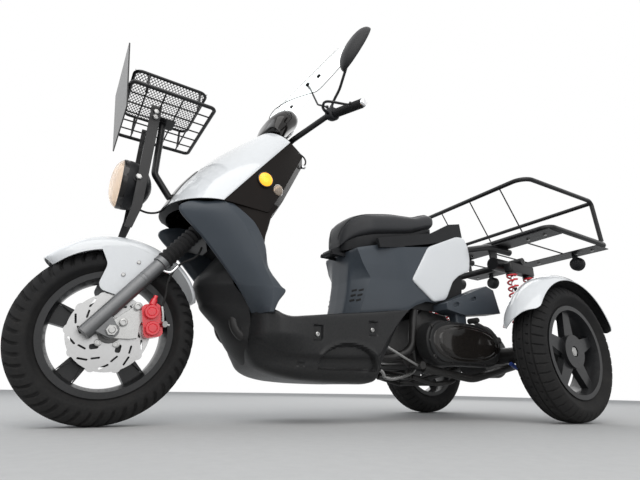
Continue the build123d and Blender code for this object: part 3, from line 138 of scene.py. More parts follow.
def buildGrain():
    # moulded grain: cell edges of a fine Voronoi pattern over a soft noise, as one height
    tree, gin, gout = newGroup("grain", {}, {"Cells": 900.0, "Soft": 60.0, "Mix": 0.5},
        [("Height", "NodeSocketFloat")])
    cell = tree.nodes.new("ShaderNodeTexVoronoi")
    cell.feature = "DISTANCE_TO_EDGE"
    tree.links.new(gin.outputs["Vector"], cell.inputs["Vector"])
    tree.links.new(gin.outputs["Cells"], cell.inputs["Scale"])
    edge = mathNode(tree, "MULTIPLY", cell.outputs["Distance"], 2.0, True)
    soft = noiseNode(tree, gin.outputs["Vector"], gin.outputs["Soft"], 3.0)
    both = mathNode(tree, "ADD", mathNode(tree, "MULTIPLY", edge, gin.outputs["Mix"]),
        mathNode(tree, "MULTIPLY", soft, 0.6))
    tree.links.new(both, gout.inputs["Height"])
    return tree


weatherGroup, grainGroup = buildWeather(), buildGrain()


def useGroup(tree, group, vector, **values):  # a group node fed with a coordinate and with values
    n = tree.nodes.new("ShaderNodeGroup")
    n.node_tree = group
    tree.links.new(vector, n.inputs["Vector"])
    for label, value in values.items():
        n.inputs[label].default_value = value
    return n


def finish(name, tone, blotch=None, matt=0.4, metal=0.0, coat=0.0, size=14.0, amount=0.35, dusty=0.12,
        cells=900.0, soft=60.0, cellMix=0.5, bump=0.15, depth=0.0004, glow=None, clear=0.0, ior=1.5,
        sheen=0.0, gloss=0.5, dust=(0.26, 0.24, 0.21)):
    # weather gives the colour and roughness, grain gives the bump, and the rest are the shader's own values
    mat = bpy.data.materials.new(name)
    mat.use_nodes = True
    tree = mat.node_tree
    bsdf = tree.nodes["Principled BSDF"]
    coord = tree.nodes.new("ShaderNodeTexCoord").outputs["Object"]
    blotch = blotch or tuple(min(1, c * 1.5 + 0.006) for c in tone)
    weather = useGroup(tree, weatherGroup, coord, Tone=(*tone, 1), Blotch=(*blotch, 1), Dust=(*dust, 1),
        Size=size, Amount=amount, Dusty=dusty, Matt=matt)
    grain = useGroup(tree, grainGroup, coord, Cells=cells, Soft=soft, Mix=cellMix)
    bumpNode = tree.nodes.new("ShaderNodeBump")
    glow = glow or ((1, 1, 1), 0)
    for node, values in ((bumpNode, {"Strength": bump, "Distance": depth, "Height": grain.outputs["Height"]}),
            (bsdf, {"Base Color": weather.outputs["Color"], "Roughness": weather.outputs["Roughness"],
            "Normal": bumpNode.outputs["Normal"], "Metallic": metal, "Coat Weight": coat,
            "Coat Roughness": 0.04, "IOR": ior, "Transmission Weight": clear, "Sheen Weight": sheen,
            "Specular IOR Level": gloss, "Emission Color": (*glow[0], 1), "Emission Strength": glow[1]})):
        for label, value in values.items():
            setInput(tree, node.inputs[label], value)
    return mat


# each look: its slot, its tone and second tone, and what differs from the plain finish
bare = dict(cellMix=0.0, bump=0.0, dusty=0.0)
looks = {
    "whitePanel": ("white_panel", (0.83, 0.85, 0.87), (0.76, 0.78, 0.81),
        dict(matt=0.16, coat=0.7, size=5, dusty=0.3, cellMix=0.02, soft=30, bump=0.04)),
    # the floor's copy of the dark panel: its dark grey tone is darkened further as painted shade on the floor
    "paintedShadeFloorPanel": ("dark_panel", (0.0075, 0.0085, 0.0105), (0.012, 0.0135, 0.016),
        dict(matt=0.3, size=7, dusty=0.15, cells=1400, bump=0.2, depth=0.0003, gloss=0.28)),
    # the dark panel's real dark grey, made lighter and bluer as a painted reflection of the sky; used on the
    # wings, rider side, seat cover and air box
    "paintedReflectionDarkPanel": ("dark_panel", (0.050, 0.061, 0.075), (0.066, 0.079, 0.095),
        dict(matt=0.36, size=6, dusty=0.12, cells=1400, bump=0.2, depth=0.0003, gloss=0.3)),
    "blackPlastic": ("black_plastic", (0.012, 0.0125, 0.014), None,
        dict(matt=0.46, cells=1200, bump=0.25, dusty=0.12, gloss=0.22)),
    "cowlBlack": ("gloss_black", (0.010, 0.0078, 0.007), (0.02, 0.0145, 0.0125),
        dict(matt=0.42, gloss=0.12, size=4, cellMix=0.02, soft=20, bump=0.05, dusty=0.1)),
    "glossBlack": ("gloss_black", (0.009, 0.0075, 0.007), (0.015, 0.0115, 0.0105),
        dict(matt=0.1, coat=0.15, gloss=0.35, size=4, cellMix=0.02, soft=20, bump=0.05, dusty=0.1)),
    "tyreRubber": ("tyre", (0.017, 0.017, 0.018), (0.04, 0.038, 0.036),
        dict(matt=0.72, size=22, amount=0.4, dusty=0.45, gloss=0.12, cells=420, bump=0.4, depth=0.0006,
        dust=(0.07, 0.067, 0.062))),
    "rimBlack": ("black_rim", (0.014, 0.015, 0.017), (0.03, 0.032, 0.036),
        dict(matt=0.3, coat=0.1, size=18, cellMix=0.15, soft=140, bump=0.12, dusty=0.1, gloss=0.25)),
    "blackTube": ("black_frame", (0.011, 0.011, 0.012), None,
        dict(matt=0.34, coat=0.1, gloss=0.3, size=20, cellMix=0.2, soft=220, bump=0.12, dusty=0.15)),
    "steel": ("steel", (0.40, 0.40, 0.395), (0.3, 0.295, 0.285),
        dict(matt=0.27, metal=1.0, size=30, cells=300, cellMix=0.1, soft=160, bump=0.1, dusty=0.1)),
    "discSteel": ("steel", (0.42, 0.42, 0.42), (0.34, 0.335, 0.325),
        dict(matt=0.3, metal=1.0, size=9, amount=0.4, cellMix=0.05, soft=240, bump=0.08, dusty=0.05)),
    "forkGrey": ("fork_grey", (0.15, 0.153, 0.158), (0.2, 0.203, 0.206),
        dict(matt=0.34, metal=0.7, size=26, soft=180, cellMix=0.1, bump=0.08, dusty=0.2)),
    "castAlloy": ("cast_alloy", (0.13, 0.13, 0.132), (0.08, 0.078, 0.075),
        dict(matt=0.45, metal=0.85, size=26, amount=0.7, cells=500, bump=0.35, dusty=0.3)),
    "rubber": ("rubber", (0.010, 0.010, 0.011), None, dict(matt=0.62, gloss=0.2, cells=600, bump=0.3,
        dusty=0.2)),
    "redPaint": ("red_paint", (0.80, 0.018, 0.035), (0.66, 0.014, 0.028),
        dict(matt=0.22, coat=0.5, size=30, cellMix=0.05, bump=0.06, dusty=0.08)),
    "bluePaint": ("fork_grey", (0.02, 0.06, 0.32), None, dict(matt=0.25, coat=0.4, size=30, cellMix=0.05,
        bump=0.06)),
    "vinyl": ("seat_vinyl", (0.030, 0.031, 0.034), (0.045, 0.046, 0.05),
        dict(matt=0.5, size=9, cells=650, soft=26, bump=0.35, depth=0.0005, dusty=0.0, sheen=0.05,
        gloss=0.3)),
    "clearScreen": ("clear_screen", (0.86, 0.90, 0.90), (0.82, 0.87, 0.87),
        dict(matt=0.02, clear=1.0, ior=1.45, **bare, amount=0.2)),
    "lampGlass": ("lamp_lens", (0.95, 0.80, 0.66), (0.93, 0.76, 0.60),
        dict(matt=0.12, clear=0.7, ior=1.3, **bare, glow=((1.0, 0.78, 0.6), 0.05))),
    "amber": ("amber", (1.0, 0.42, 0.02), (1.0, 0.5, 0.04), dict(matt=0.18, clear=0.2, cellMix=0.3, cells=260,
        bump=0.3, dusty=0.0, glow=((1.0, 0.46, 0.03), 1.1))),
    "mirrorFace": ("steel", (0.8, 0.82, 0.84), (0.78, 0.8, 0.82), dict(matt=0.03, metal=1.0, **bare)),
    "chrome": ("steel", (0.86, 0.86, 0.87), (0.8, 0.8, 0.81),
        dict(matt=0.08, metal=1.0, cellMix=0.0, bump=0.02, dusty=0.0)),
    "redLens": ("amber", (0.6, 0.01, 0.015), None, dict(matt=0.15, clear=0.1, cells=240, cellMix=0.4,
        bump=0.3, dusty=0.0)),
    "dial": ("gloss_black", (0.02, 0.02, 0.022), None, dict(matt=0.3, coat=0.5, bump=0.02, dusty=0.0)),
}
mats, slots = {}, {}
for name, (slot, tone, blotch, look) in looks.items():
    slots[name], mats[name] = slot, finish(name, tone, blotch, **look)
print("stage: materials made,", len(mats))

# mesh helpers: every shape is a grid of points, worked out as whole arrays; radii, walls and edges are in
# millimetres


def gridFaces(rows, cols, closeRows=False, closeCols=False):
    # corner numbers of each quad on a rows by columns grid, running on round where a side is closed
    i = np.arange(rows if closeRows else rows - 1)
    j = np.arange(cols if closeCols else cols - 1)
    a, b = np.meshgrid(i, j, indexing="ij")
    a2, b2 = (a + 1) % rows, (b + 1) % cols
    return np.stack([a * cols + b, a2 * cols + b, a2 * cols + b2, a * cols + b2], -1).reshape(-1, 4)


def fromGrid(points, closeRows=False, closeCols=False, caps=False):
    # points on a grid become vertices and quads, and caps close the two end rows by polygons
    rows, cols = points.shape[:2]
    faces = gridFaces(rows, cols, closeRows, closeCols).tolist()
    if caps:
        faces.append(list(range(cols)))
        faces.append([(rows - 1) * cols + k for k in range(cols)][::-1])
    return points.reshape(-1, 3), faces


def linked(name, data):  # a new object in the scene
    obj = bpy.data.objects.new(name, data)
    bpy.context.scene.collection.objects.link(obj)
    return obj


def addPiece(name, parts, body, mat, replaced=(), smooth=40.0, bevel=0.0):
    # joins (vertices, faces) parts into one object on a body, merged, with its faces made to point out
    sizes = np.cumsum([0] + [len(v) for v, f in parts])
    faces = [[k + base for k in face] for (v, f), base in zip(parts, sizes) for face in f]
    mesh = bpy.data.meshes.new(name)
    mesh.from_pydata(np.concatenate([v for v, f in parts]).tolist(), [], faces)
    work = bmesh.new()
    work.from_mesh(mesh)
    bmesh.ops.remove_doubles(work, verts=work.verts, dist=2e-6)
    bmesh.ops.recalc_face_normals(work, faces=work.faces)
    work.to_mesh(mesh)
    work.free()
    mesh.validate()
    obj = linked(name, mesh)
    mesh.materials.append(mats[mat])
    if bevel:
        mod = obj.modifiers.new("edge", "BEVEL")
        mod.width, mod.segments = bevel / 1000, 2
        mod.limit_method, mod.angle_limit = "ANGLE", math.radians(30)
        mod.harden_normals = False
    mesh.shade_smooth()
    mesh.set_sharp_from_angle(angle=math.radians(smooth))
    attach(obj, body)
    if replaced:
        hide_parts(*replaced)
    return obj


def fromNode(node, flat=1.2):
    # a CAD node's triangles, copied, merged and dissolved across flat faces, as one (vertices, faces) part
    work = bmesh.new()
    work.from_mesh(nodes[node].data)
    bmesh.ops.remove_doubles(work, verts=work.verts, dist=2e-5)
    if flat:
        bmesh.ops.dissolve_limit(work, angle_limit=math.radians(flat), verts=work.verts, edges=work.edges)
    work.verts.index_update()
    verts = np.array([v.co[:] for v in work.verts])
    faces = [[v.index for v in f.verts] for f in work.faces]
    work.free()
    return verts, faces


def smoothRow(points, count):
    # Catmull-Rom curve through points: each span is a cubic whose end slopes are half the chord between its
    # neighbours
    p = np.asarray(points, float)
    p = np.vstack([2 * p[0] - p[1], p, 2 * p[-1] - p[-2]])
    t = np.linspace(0, len(p) - 3 - 1e-9, count)
    k = t.astype(int)
    f = (t - k)[:, None]
    a, b, c, d = p[k], p[k + 1], p[k + 2], p[k + 3]
    return 0.5 * (2 * b + (c - a) * f + (2 * a - 5 * b + 4 * c - d) * f ** 2 + (3 * b - a - 3 * c + d)
        * f ** 3)


def frames(path):
    # unit tangent and two cross directions along a path, steadied by one fixed reference direction
    t = np.gradient(path, axis=0)
    t /= np.linalg.norm(t, axis=1, keepdims=True)
    spread = np.abs(t).mean(0)
    ref = np.zeros(3)
    ref[spread.argmin()] = 1.0
    n = np.cross(t, ref)
    n /= np.linalg.norm(n, axis=1, keepdims=True)
    return t, n, np.cross(t, n)


def tubeAlong(path, radius, sides=12, caps=True):
    # circle of a radius in millimetres, or one radius a point, carried along a path
    path = np.asarray(path, float)
    t, n, b = frames(path)
    r = np.broadcast_to(np.asarray(radius, float) / 1000, (len(path),))[:, None, None]
    a = circle(sides)[None, :, None]
    return fromGrid(path[:, None] + r * (np.cos(a) * n[:, None] + np.sin(a) * b[:, None]), closeCols=True,
        caps=caps)


def rod(points, radius, count=24, sides=12):  # a tube along a smooth curve through (back, left, up) points
    return tubeAlong(row(*smoothRow(points, count).T), radius, sides)


def lathe(profile, origin, axis, sides=48, closed=False):
    # profile of (along, radius) pairs in millimetres turned about an axis through an origin
    p = np.asarray(profile, float) / 1000
    axis = np.asarray(axis, float) / np.linalg.norm(axis)
    ref = np.array([0, 0, 1.0]) if abs(axis[2]) < 0.9 else np.array([1.0, 0, 0])
    u = np.cross(axis, ref)
    u /= np.linalg.norm(u)
    w = np.cross(axis, u)
    a = circle(sides)[:, None, None]
    ring = np.cos(a) * u + np.sin(a) * w
    pts = np.asarray(origin) + p[None, :, :1] * axis + p[None, :, 1:] * ring
    return fromGrid(pts, closeRows=True, closeCols=closed)


def prism(outline, place, depth, edge=0.0):
    # outline of (a, b) corners carried by place(a, b, c) from c = 0 to depth, its rims drawn in by an edge
    o = np.asarray(outline, float)
    mid = o.mean(0)
    small = mid + (o - mid) * (1 - edge / np.abs(o - mid).max())
    rows = [(small, 0.0), (o, edge), (o, depth - edge), (small, depth)] if edge else [(o, 0.0), (o, depth)]
    pts = np.stack([place(r[:, 0], r[:, 1], c) for r, c in rows])
    return fromGrid(pts, closeCols=True, caps=True)


def closedShell(outer, inner, ring=False):
    # two matching grids become a wall: both faces, and a strip of quads along each open edge; a ring has its
    # columns joined up
    rows, cols = outer.shape[:2]
    n = rows * cols
    face = gridFaces(rows, cols, closeCols=ring)
    index = np.arange(n).reshape(rows, cols)
    edges = [np.append(e, e[0]) for e in (index[0], index[-1])] if ring else [index[0], index[-1],
        index[:, 0], index[:, -1]]
    rims = [np.stack([e[:-1], e[1:], e[1:] + n, e[:-1] + n], -1) for e in edges]
    return np.concatenate([outer.reshape(-1, 3), inner.reshape(-1, 3)]), np.concatenate([face,
        face[:, ::-1] + n] + rims).tolist()


def offsetGrid(points, thickness, towards):
    # each point moved, by millimetres, along the cross product of the grid's two slopes, on the side of a
    # given point
    du, dv = np.gradient(points, axis=0), np.gradient(points, axis=1)
    n = np.cross(du, dv)
    n /= np.maximum(np.linalg.norm(n, axis=-1, keepdims=True), 1e-12)
    side = np.sign(((np.asarray(towards) - points) * n).sum(-1).mean())
    return points + n * thickness / 1000 * side


def skin(name, grid, wall, towards, mat, replaced, **look):
    # a chassis shell grown from one grid towards a point
    addPiece(name, [closedShell(grid, offsetGrid(grid, wall, towards))], "chassis", mat, replaced, **look)


def rounded(points, radius, steps=5):
    # corners of a closed outline replaced by quadratic curves
    p = np.asarray(points, float)
    before, after = np.roll(p, 1, 0), np.roll(p, -1, 0)
    la = np.linalg.norm(before - p, axis=1, keepdims=True)
    lb = np.linalg.norm(after - p, axis=1, keepdims=True)
    cut = np.minimum(radius, 0.45 * np.minimum(la, lb))
    a, b = p + (before - p) / la * cut, p + (after - p) / lb * cut
    t = np.linspace(0, 1, steps)[None, :, None]
    return ((1 - t) ** 2 * a[:, None] + 2 * t * (1 - t) * p[:, None] + t ** 2 * b[:, None]).reshape(-1, 2)


def boltHeads(spots, normal, radius, height):  # low domed six-sided heads at each spot, facing along a normal
    profile = [(0, 0), (0, radius), (height * 0.6, radius), (height, radius * 0.75), (height, 0)]
    return [lathe(profile, spot, normal, 6) for spot in spots]


def flankBolts(spots, out, radius, height):  # the same heads on both sides, facing outwards
    return sum(bothSides(lambda k: boltHeads([row(b, k * out, z) for b, z in spots], (0, k, 0), radius,
        height)), [])


# tyres: the section turned about the axle, with its grooves pressed inwards

tyres = {"columns": 76, "front": {"radius": 236.5, "width": 120, "bead": 158, "flange": 168.5, "around": 720,
    "blocks": 24, "sweep": 0.85}, "rear": {"radius": 254, "width": 130, "bead": 162, "flange": 173,
    "around": 690, "blocks": 46, "sweep": 0.25}}


def ramp(value, low, high):  # 0 below low, 1 above high, an S-curve between
    t = np.clip((value - low) / (high - low), 0, 1)
    return t * t * (3 - 2 * t)


def groove(distance, width, edge):  # 1 in the middle of a groove, 0 outside it
    return np.clip((width / 2 - distance) / edge + 0.5, 0, 1)


def tyreParts(spec, centre, tread):
    # section through the crown, shoulder and sidewall, sampled closer at the crown; each point then moves in
    # by the tread's depth
    half, top = spec["width"] / 2, spec["radius"]
    flank = [(0.72 * half, spec["bead"] + 0.3), (0.72 * half, spec["flange"] + 2), (0.97 * half, top - 52),
        (half, top - 43), (0.9 * half, top - 24), (0.6 * half, top - 6), (0.3 * half, top - 1.4)]
    line = smoothRow(flank + [(0, top)] + [(-a, r) for a, r in flank[::-1]], 900)
    run = np.concatenate([[0], np.cumsum(np.linalg.norm(np.diff(line, axis=0), axis=1))])
    s = np.linspace(-1, 1, tyres["columns"])
    at = run[-1] * (0.5 + 0.5 * (0.62 * s + 0.38 * s ** 3))
    section = np.stack([np.interp(at, run, line[:, k]) for k in (0, 1)], -1)
    slope = np.gradient(section, axis=0)
    inward = np.stack([-slope[:, 1], slope[:, 0]], -1)
    inward /= np.linalg.norm(inward, axis=1, keepdims=True)
    inward *= np.sign(((np.array([0, top - 60]) - section) * inward).sum(1, keepdims=True))
    turn = circle(spec["around"])[:, None]
    depth = tread(spec, turn, section[None, :, 0] / half) * ramp(section[None, :, 1], top - 40, top - 26)
    across = section[None, :, 0] + inward[None, :, 0] * depth
    radius = section[None, :, 1] + inward[None, :, 1] * depth
    pts = np.stack([radius * np.cos(turn), across, radius * np.sin(turn)], -1) / 1000 + np.asarray(centre)
    return fromGrid(pts, closeRows=True, closeCols=True)


def frontTread(spec, turn, across):
    # grooves swept back from near the middle to each shoulder, a long and a short one in each pitch, left and
    # right out of step
    pitch = 2 * np.pi * spec["radius"] / spec["blocks"]
    a = np.abs(across)
    phase = turn / (2 * np.pi) * spec["blocks"] + spec["sweep"] * a ** 0.8 + 0.5 * (across > 0)
    far = np.abs((phase + 0.5) % 1 - 0.5) * pitch
    near = np.abs(phase % 1 - 0.5) * pitch
    long = groove(far, 10.5, 2.6) * ramp(a, 0.06, 0.14)
    short = groove(near, 8.5, 2.6) * ramp(a, 0.44, 0.5)
    rib = groove(np.abs(a - 0.42) * 60, 4.5, 2.0) * (np.abs(phase % 1 - 0.25) < 0.2)
    return 6.5 * np.maximum(np.maximum(long, short), rib * 0.8)


def rearTread(spec, turn, across):
    # three grooves run round, with short slots out to the shoulders and shorter ones in the middle ribs
    pitch = 2 * np.pi * spec["radius"] / spec["blocks"]
    a = np.abs(across)
    phase = turn / (2 * np.pi) * spec["blocks"] + spec["sweep"] * a + 0.5 * (across > 0)
    slot = groove(np.abs((phase + 0.5) % 1 - 0.5) * pitch, 4.8, 2.0)
    rounds = np.maximum(groove(a * 65, 5.0, 2.2), groove(np.abs(a - 0.44) * 65, 6.5, 2.4))
    return 5.0 * np.maximum(rounds, slot * np.maximum(ramp(a, 0.5, 0.56),
        ramp(a, 0.12, 0.16) * ramp(-a, -0.34, -0.3)))


addPiece("frontTyreTread", [tyreParts(tyres["front"], (axles["frontX"], 0, axles["frontZ"]), frontTread)],
    "front_wheel", "tyreRubber", ["front_tyre"], smooth=32)
for side, place in ((1, "left"), (-1, "right")):
    addPiece("rearTyreTread_" + place, [tyreParts(tyres["rear"],
        (axles["rearX"], side * axles["rearY"], axles["rearZ"]), rearTread)], "rear_wheel_" + place,
        "tyreRubber", ["rear_tyre_" + place], smooth=32)
print("stage: tyres cut")

# CAD forms kept as they are, with softened edges: node, body, material, edge in millimetres

kept = [
    ("front_rim", "front_wheel", "rimBlack", 1.6), ("rear_rim_left", "rear_wheel_left", "rimBlack", 1.8),
    ("rear_rim_right", "rear_wheel_right", "rimBlack", 1.8),
    ("brake_disc", "front_wheel", "discSteel", 0.35), ("fork", "steering", "blackTube", 0.8),
    ("fork_legs", "steering", "forkGrey", 1.5), ("fork_gaiters", "steering", "rubber", 0.6),
    ("caliper_bracket", "steering", "steel", 1.2), ("brake_caliper", "steering", "redPaint", 2.0),
    ("handlebar", "steering", "blackTube", 0.8), ("front_axle", "steering", "steel", 1.0),
    ("screen_stays", "steering", "blackTube", 0.4), ("inner_cowl", "chassis", "cowlBlack", 9.0),
    ("grab_rail", "chassis", "blackPlastic", 4.0), ("engine_block", "chassis", "castAlloy", 4.0),
    ("air_filter_box", "chassis", "paintedReflectionDarkPanel", 4.0), ("main_frame", "chassis", "blackTube", 0.8),
    ("rear_axle_unit", "chassis", "blackTube", 1.0), ("centre_stand", "chassis", "blackTube", 0.6),
    ("rack_frame", "chassis", "blackTube", 0.0), ("rack_plates", "chassis", "blackTube", 0.8),
    ("rack_guard", "chassis", "blackTube", 0.0), ("front_carrier", "chassis", "blackTube", 0.0),
    ("front_plate", "chassis", "blackTube", 0.8), ("carrier_stay", "chassis", "blackTube", 0.6),
    ("lamp_bracket", "chassis", "blackTube", 0.9), ("rear_shaft_left", "rear_wheel_left", "steel", 0.8),
    ("rear_shaft_right", "rear_wheel_right", "steel", 0.8)]
for node, body, mat, edge in kept:
    addPiece("form_" + node, [fromNode(node)], body, mat, [node], smooth=34, bevel=edge)
print("stage: CAD forms softened,", len(kept))

# webs between the paired spokes, turned to the five-fold mean angle of the CAD rim's own points

rimPoints = np.array([v.co[:] for v in nodes["front_rim"].data.vertices]) * 1000
away = rimPoints[:, [0, 2]] - np.array([axles["frontX"], axles["frontZ"]]) * 1000
distance = np.hypot(away[:, 0], away[:, 1])
middle5 = np.exp(5j * np.arctan2(away[:, 1], away[:, 0]))[(distance > 134) & (distance < 150)].mean()
webs = []
for k in range(5):
    turn = np.angle(middle5) / 5 + 2 * np.pi * k / 5
    outline = [(38, 0.27), (90, 0.20), (150, 0.17), (168, 0.20), (168, -0.20), (150, -0.17), (90, -0.20),
        (38, -0.27)]
    spot = [(r * math.cos(turn + a), r * math.sin(turn + a)) for r, a in outline]
    webs.append(prism(rounded(spot, 6, 4), lambda p, q, c: np.stack([p + frontX, 0 * p - 8 + c, q + frontZ],
        -1) / 1000, 16, 1.5))
webs.append(lathe([(30, 34), (30, 88), (34, 90), (44, 90), (47, 87), (47, 34)], row(0, 0, frontZ), (0, 1, 0),
    72, closed=True))
addPiece("spokeWebs", webs, "front_wheel", "rimBlack", smooth=35)

# front fender: crown and aprons

fender = {"radius": 244, "halfWidth": 71.6, "skirt": 196, "start": 40, "end": 161, "wall": 3.4,
    "centreZ": 267.5, "tipTurn": 17, "round": 0.62}


def crownLayer(depth):
    # superelliptic section across the width, from the crown down to both skirts, turned about the axle; it
    # narrows at the two tips
    u, v = np.linspace(0, 1, 90)[:, None], np.linspace(-np.pi / 2, np.pi / 2, 41)[None, :]
    turn = np.radians(fender["start"] + (fender["end"] - fender["start"]) * u)
    tip = np.minimum(u, 1 - u) * (fender["end"] - fender["start"]) / fender["tipTurn"]
    narrow = 0.42 + 0.58 * np.sqrt(1 - (1 - np.clip(tip, 0, 1)) ** 2)
    y = power(np.sin(v), fender["round"]) * (fender["halfWidth"] - depth) * narrow
    skirt = fender["skirt"] + 30 * ramp(np.degrees(turn), 112, 134) + 6 * (1 - ramp(np.degrees(turn), 46, 80))
    low = skirt + (fender["radius"] - skirt) * 0.42 * (1 - narrow)
    r = low + (fender["radius"] - depth - low) * np.abs(np.cos(v)) ** 0.74
    return np.stack([frontX + r * np.cos(turn), y, fender["centreZ"] + r * np.sin(turn)], -1) / 1000


def archShell(spec, centreX, centreZ, midY, angles, wall, inset=0.0):
    # arc across the width, a sagitta of crown over the half width, turned about the axle; it narrows at both
    # tips
    rho = (spec["halfWidth"] ** 2 + spec["crown"] ** 2) / (2 * spec["crown"])
    limit = math.asin(spec["halfWidth"] / rho)
    u, v = np.linspace(0, 1, 72)[:, None], np.linspace(-1, 1, 33)[None, :]
    turn = np.radians(angles(u, v))
    span = np.degrees(turn.max() - turn.min())
    tip = np.minimum(u, 1 - u) * span / spec["tipTurn"]
    narrow = 0.5 + 0.5 * np.sqrt(1 - (1 - np.clip(tip, 0, 1)) ** 2)

    def layer(depth):  # the arc, that far under the outer face
        phi = limit * narrow * v
        y = midY + (rho - depth) * np.sin(phi)
        r = spec["radius"] - rho + (rho - depth) * np.cos(phi)
        return np.stack([centreX + r * np.cos(turn), y + 0 * turn, centreZ + r * np.sin(turn)], -1) / 1000

    return closedShell(layer(inset), layer(inset + wall))


crownPart = closedShell(crownLayer(0.0), crownLayer(fender["wall"]))
apron = np.array([(95, 192), (70, 158), (46, 128), (8, 70), (2, 66), (-36, 76), (-44, 84), (-48, 96),
    (-34, 150), (-60, 200), (20, 214)], float)
outline = rounded(apron, 12, 5) + np.array([0, fender["centreZ"]])
apronParts = bothSides(lambda s: prism(outline, lambda a, b, c: row(a, s * (67.9 + c), b), 3.8, 1.4))
addPiece("frontFenderSkin", [crownPart] + apronParts, "steering", "whitePanel", ["front_fender"], smooth=38,
    bevel=1.2)
addPiece("frontFenderBolts", flankBolts([(43, 434), (8, 393)], 71.4, 6.2, 3.5), "steering", "steel")

# rear fenders: white skin over a dark liner, its front edge lower on the inner side

rearFender = {"radius": 304, "halfWidth": 73.5, "crown": 34, "mid": 382.5, "wall": 2.4, "liner": 1.6,
    "frontIn": 14, "frontOut": 27, "end": 162, "tipTurn": 9}
for side, place in ((1, "left"), (-1, "right")):
    def sweepAngles(u, v, s=side):  # from the front edge, which slopes across the width, to the rear tip
        start = rearFender["frontIn"] + (rearFender["frontOut"] - rearFender["frontIn"]) * (0.5 + 0.5 * v * s)
        return start + (rearFender["end"] - start) * u
    skinPart = archShell(rearFender, rearX, rearZ, side * rearFender["mid"], sweepAngles, rearFender["wall"])
    linerPart = archShell(rearFender, rearX, rearZ, side * rearFender["mid"], sweepAngles,
        rearFender["liner"], inset=rearFender["wall"] + 0.1)
    addPiece("rearFenderSkin_" + place, [skinPart], "chassis", "whitePanel", ["rear_fenders"], smooth=38,
        bevel=0.8)
    addPiece("rearFenderLiner_" + place, [linerPart], "chassis", "blackPlastic", ["rear_fenders"], smooth=38)
print("stage: fenders formed")

# white cowl: superelliptic sections square to the steering axis with a level foot, a dark liner, a low grille
# and a beak

cowl = {"along": [330, 473, 647, 862], "ridge": [158, 191, 188, 155], "half": [186, 192, 178, 120],
    "split": 57.3, "low": 632.6, "wall": 4.2, "bulge": 0.62}


def rowValue(along, key, table):  # smooth curve through a table's values
    line = smoothRow(np.stack([table["along"], table[key]], -1), 400)
    return np.interp(along, *line.T)


v = np.sin(np.linspace(-np.pi / 2, np.pi / 2, 61))[None, :]
t = np.linspace(0, 1, 72)[:, None]


def cowlOut(along):  # distance ahead of the axle: full at the ridge, falling to the split line at the sides
    return cowl["split"] + (rowValue(along, "ridge", cowl) - cowl["split"]) * (1 - v ** 2) ** cowl["bulge"]


foot = np.full_like(v, 480.0)
for k in range(8):
    # the level foot: its height is fixed, so the place along the axis falls as the section comes forward
    foot = (cowl["low"] - frontZ - cowlOut(foot) * sinRake) / cosRake
along = foot + (cowl["along"][-1] - foot) * t
cowlHeart = fork(0, 0, 560)
cowlSkin = fork(cowlOut(along), rowValue(along, "half", cowl) * v, along)
cowlInside = offsetGrid(cowlSkin, cowl["wall"] * 0.5, cowlHeart)
cowlDeep = offsetGrid(cowlSkin, cowl["wall"], cowlHeart)
middle = cowlSkin.shape[1] // 2
addPiece("cowlSkin", [closedShell(cowlSkin, cowlInside)], "chassis", "whitePanel", ["front_cowl"], smooth=50,
    bevel=1.2)
addPiece("cowlLiner", [closedShell(cowlInside + (cowlDeep - cowlInside) * 0.1, cowlDeep)], "chassis",
    "glossBlack", ["front_cowl"], smooth=50)
# a low, narrow part of the skin's grid
grille = (slice(0, int(len(cowlSkin) * 0.34)), slice(middle - 6, middle + 7))
proud = offsetGrid(cowlSkin, -2.2, cowlHeart)[grille]
addPiece("noseStrip", [closedShell(proud, (cowlSkin * 0.7 + cowlInside * 0.3)[grille])], "chassis",
    "glossBlack", ["front_cowl"], smooth=50, bevel=0.8)
beakTop = cowlInside[0, 18:-18]
drop = np.linspace(0, 1, 14)[:, None]
shift = np.interp(drop, [0, 0.35, 0.8, 1], [30, 0, 50, 90])
lowTop = beakTop[None] * 1000
beak = np.stack([lowTop[..., 0] - shift * 0.2 + 6 * np.sin(drop * np.pi), lowTop[..., 1] * (1 - 0.16 * drop),
    lowTop[..., 2] - 17 * drop + 2.5], -1) / 1000
skin("noseBeak", beak, 5, row(260, 0, 600), "blackPlastic", ["leg_shield"], smooth=50, bevel=1.2)

# leg shield: two wings with a folded lip, the panel between them, and the rider's side

shield = {"z": [632, 620, 602, 579, 524, 453, 400, 384, 349, 316],
    "lip": [168, 134, 118, 129, 191, 259, 307, 322, 356, 382],
    "lipY": [138, 138, 138, 140, 142, 143, 142, 138, 122, 106],
    "crease": [205, 186, 174, 190, 246, 300, 334, 343, 369, 392],
    "creaseY": [166, 166, 167, 169, 171, 171, 167, 163, 144, 126],
    "side": [240, 254, 272, 294, 336, 372, 402, 410, 408, 404],
    "sideY": [186, 190, 193, 195, 197, 198, 199, 200, 198, 192],
    "back": [272, 292, 322, 350, 384, 400, 440, 456, 432, 420],
    "backY": [184, 186, 186, 185, 182, 183, 191, 194, 198, 195]}
level = {key: smoothRow(np.stack([np.arange(10), values], -1), 150)[:, 1] for key, values in shield.items()}


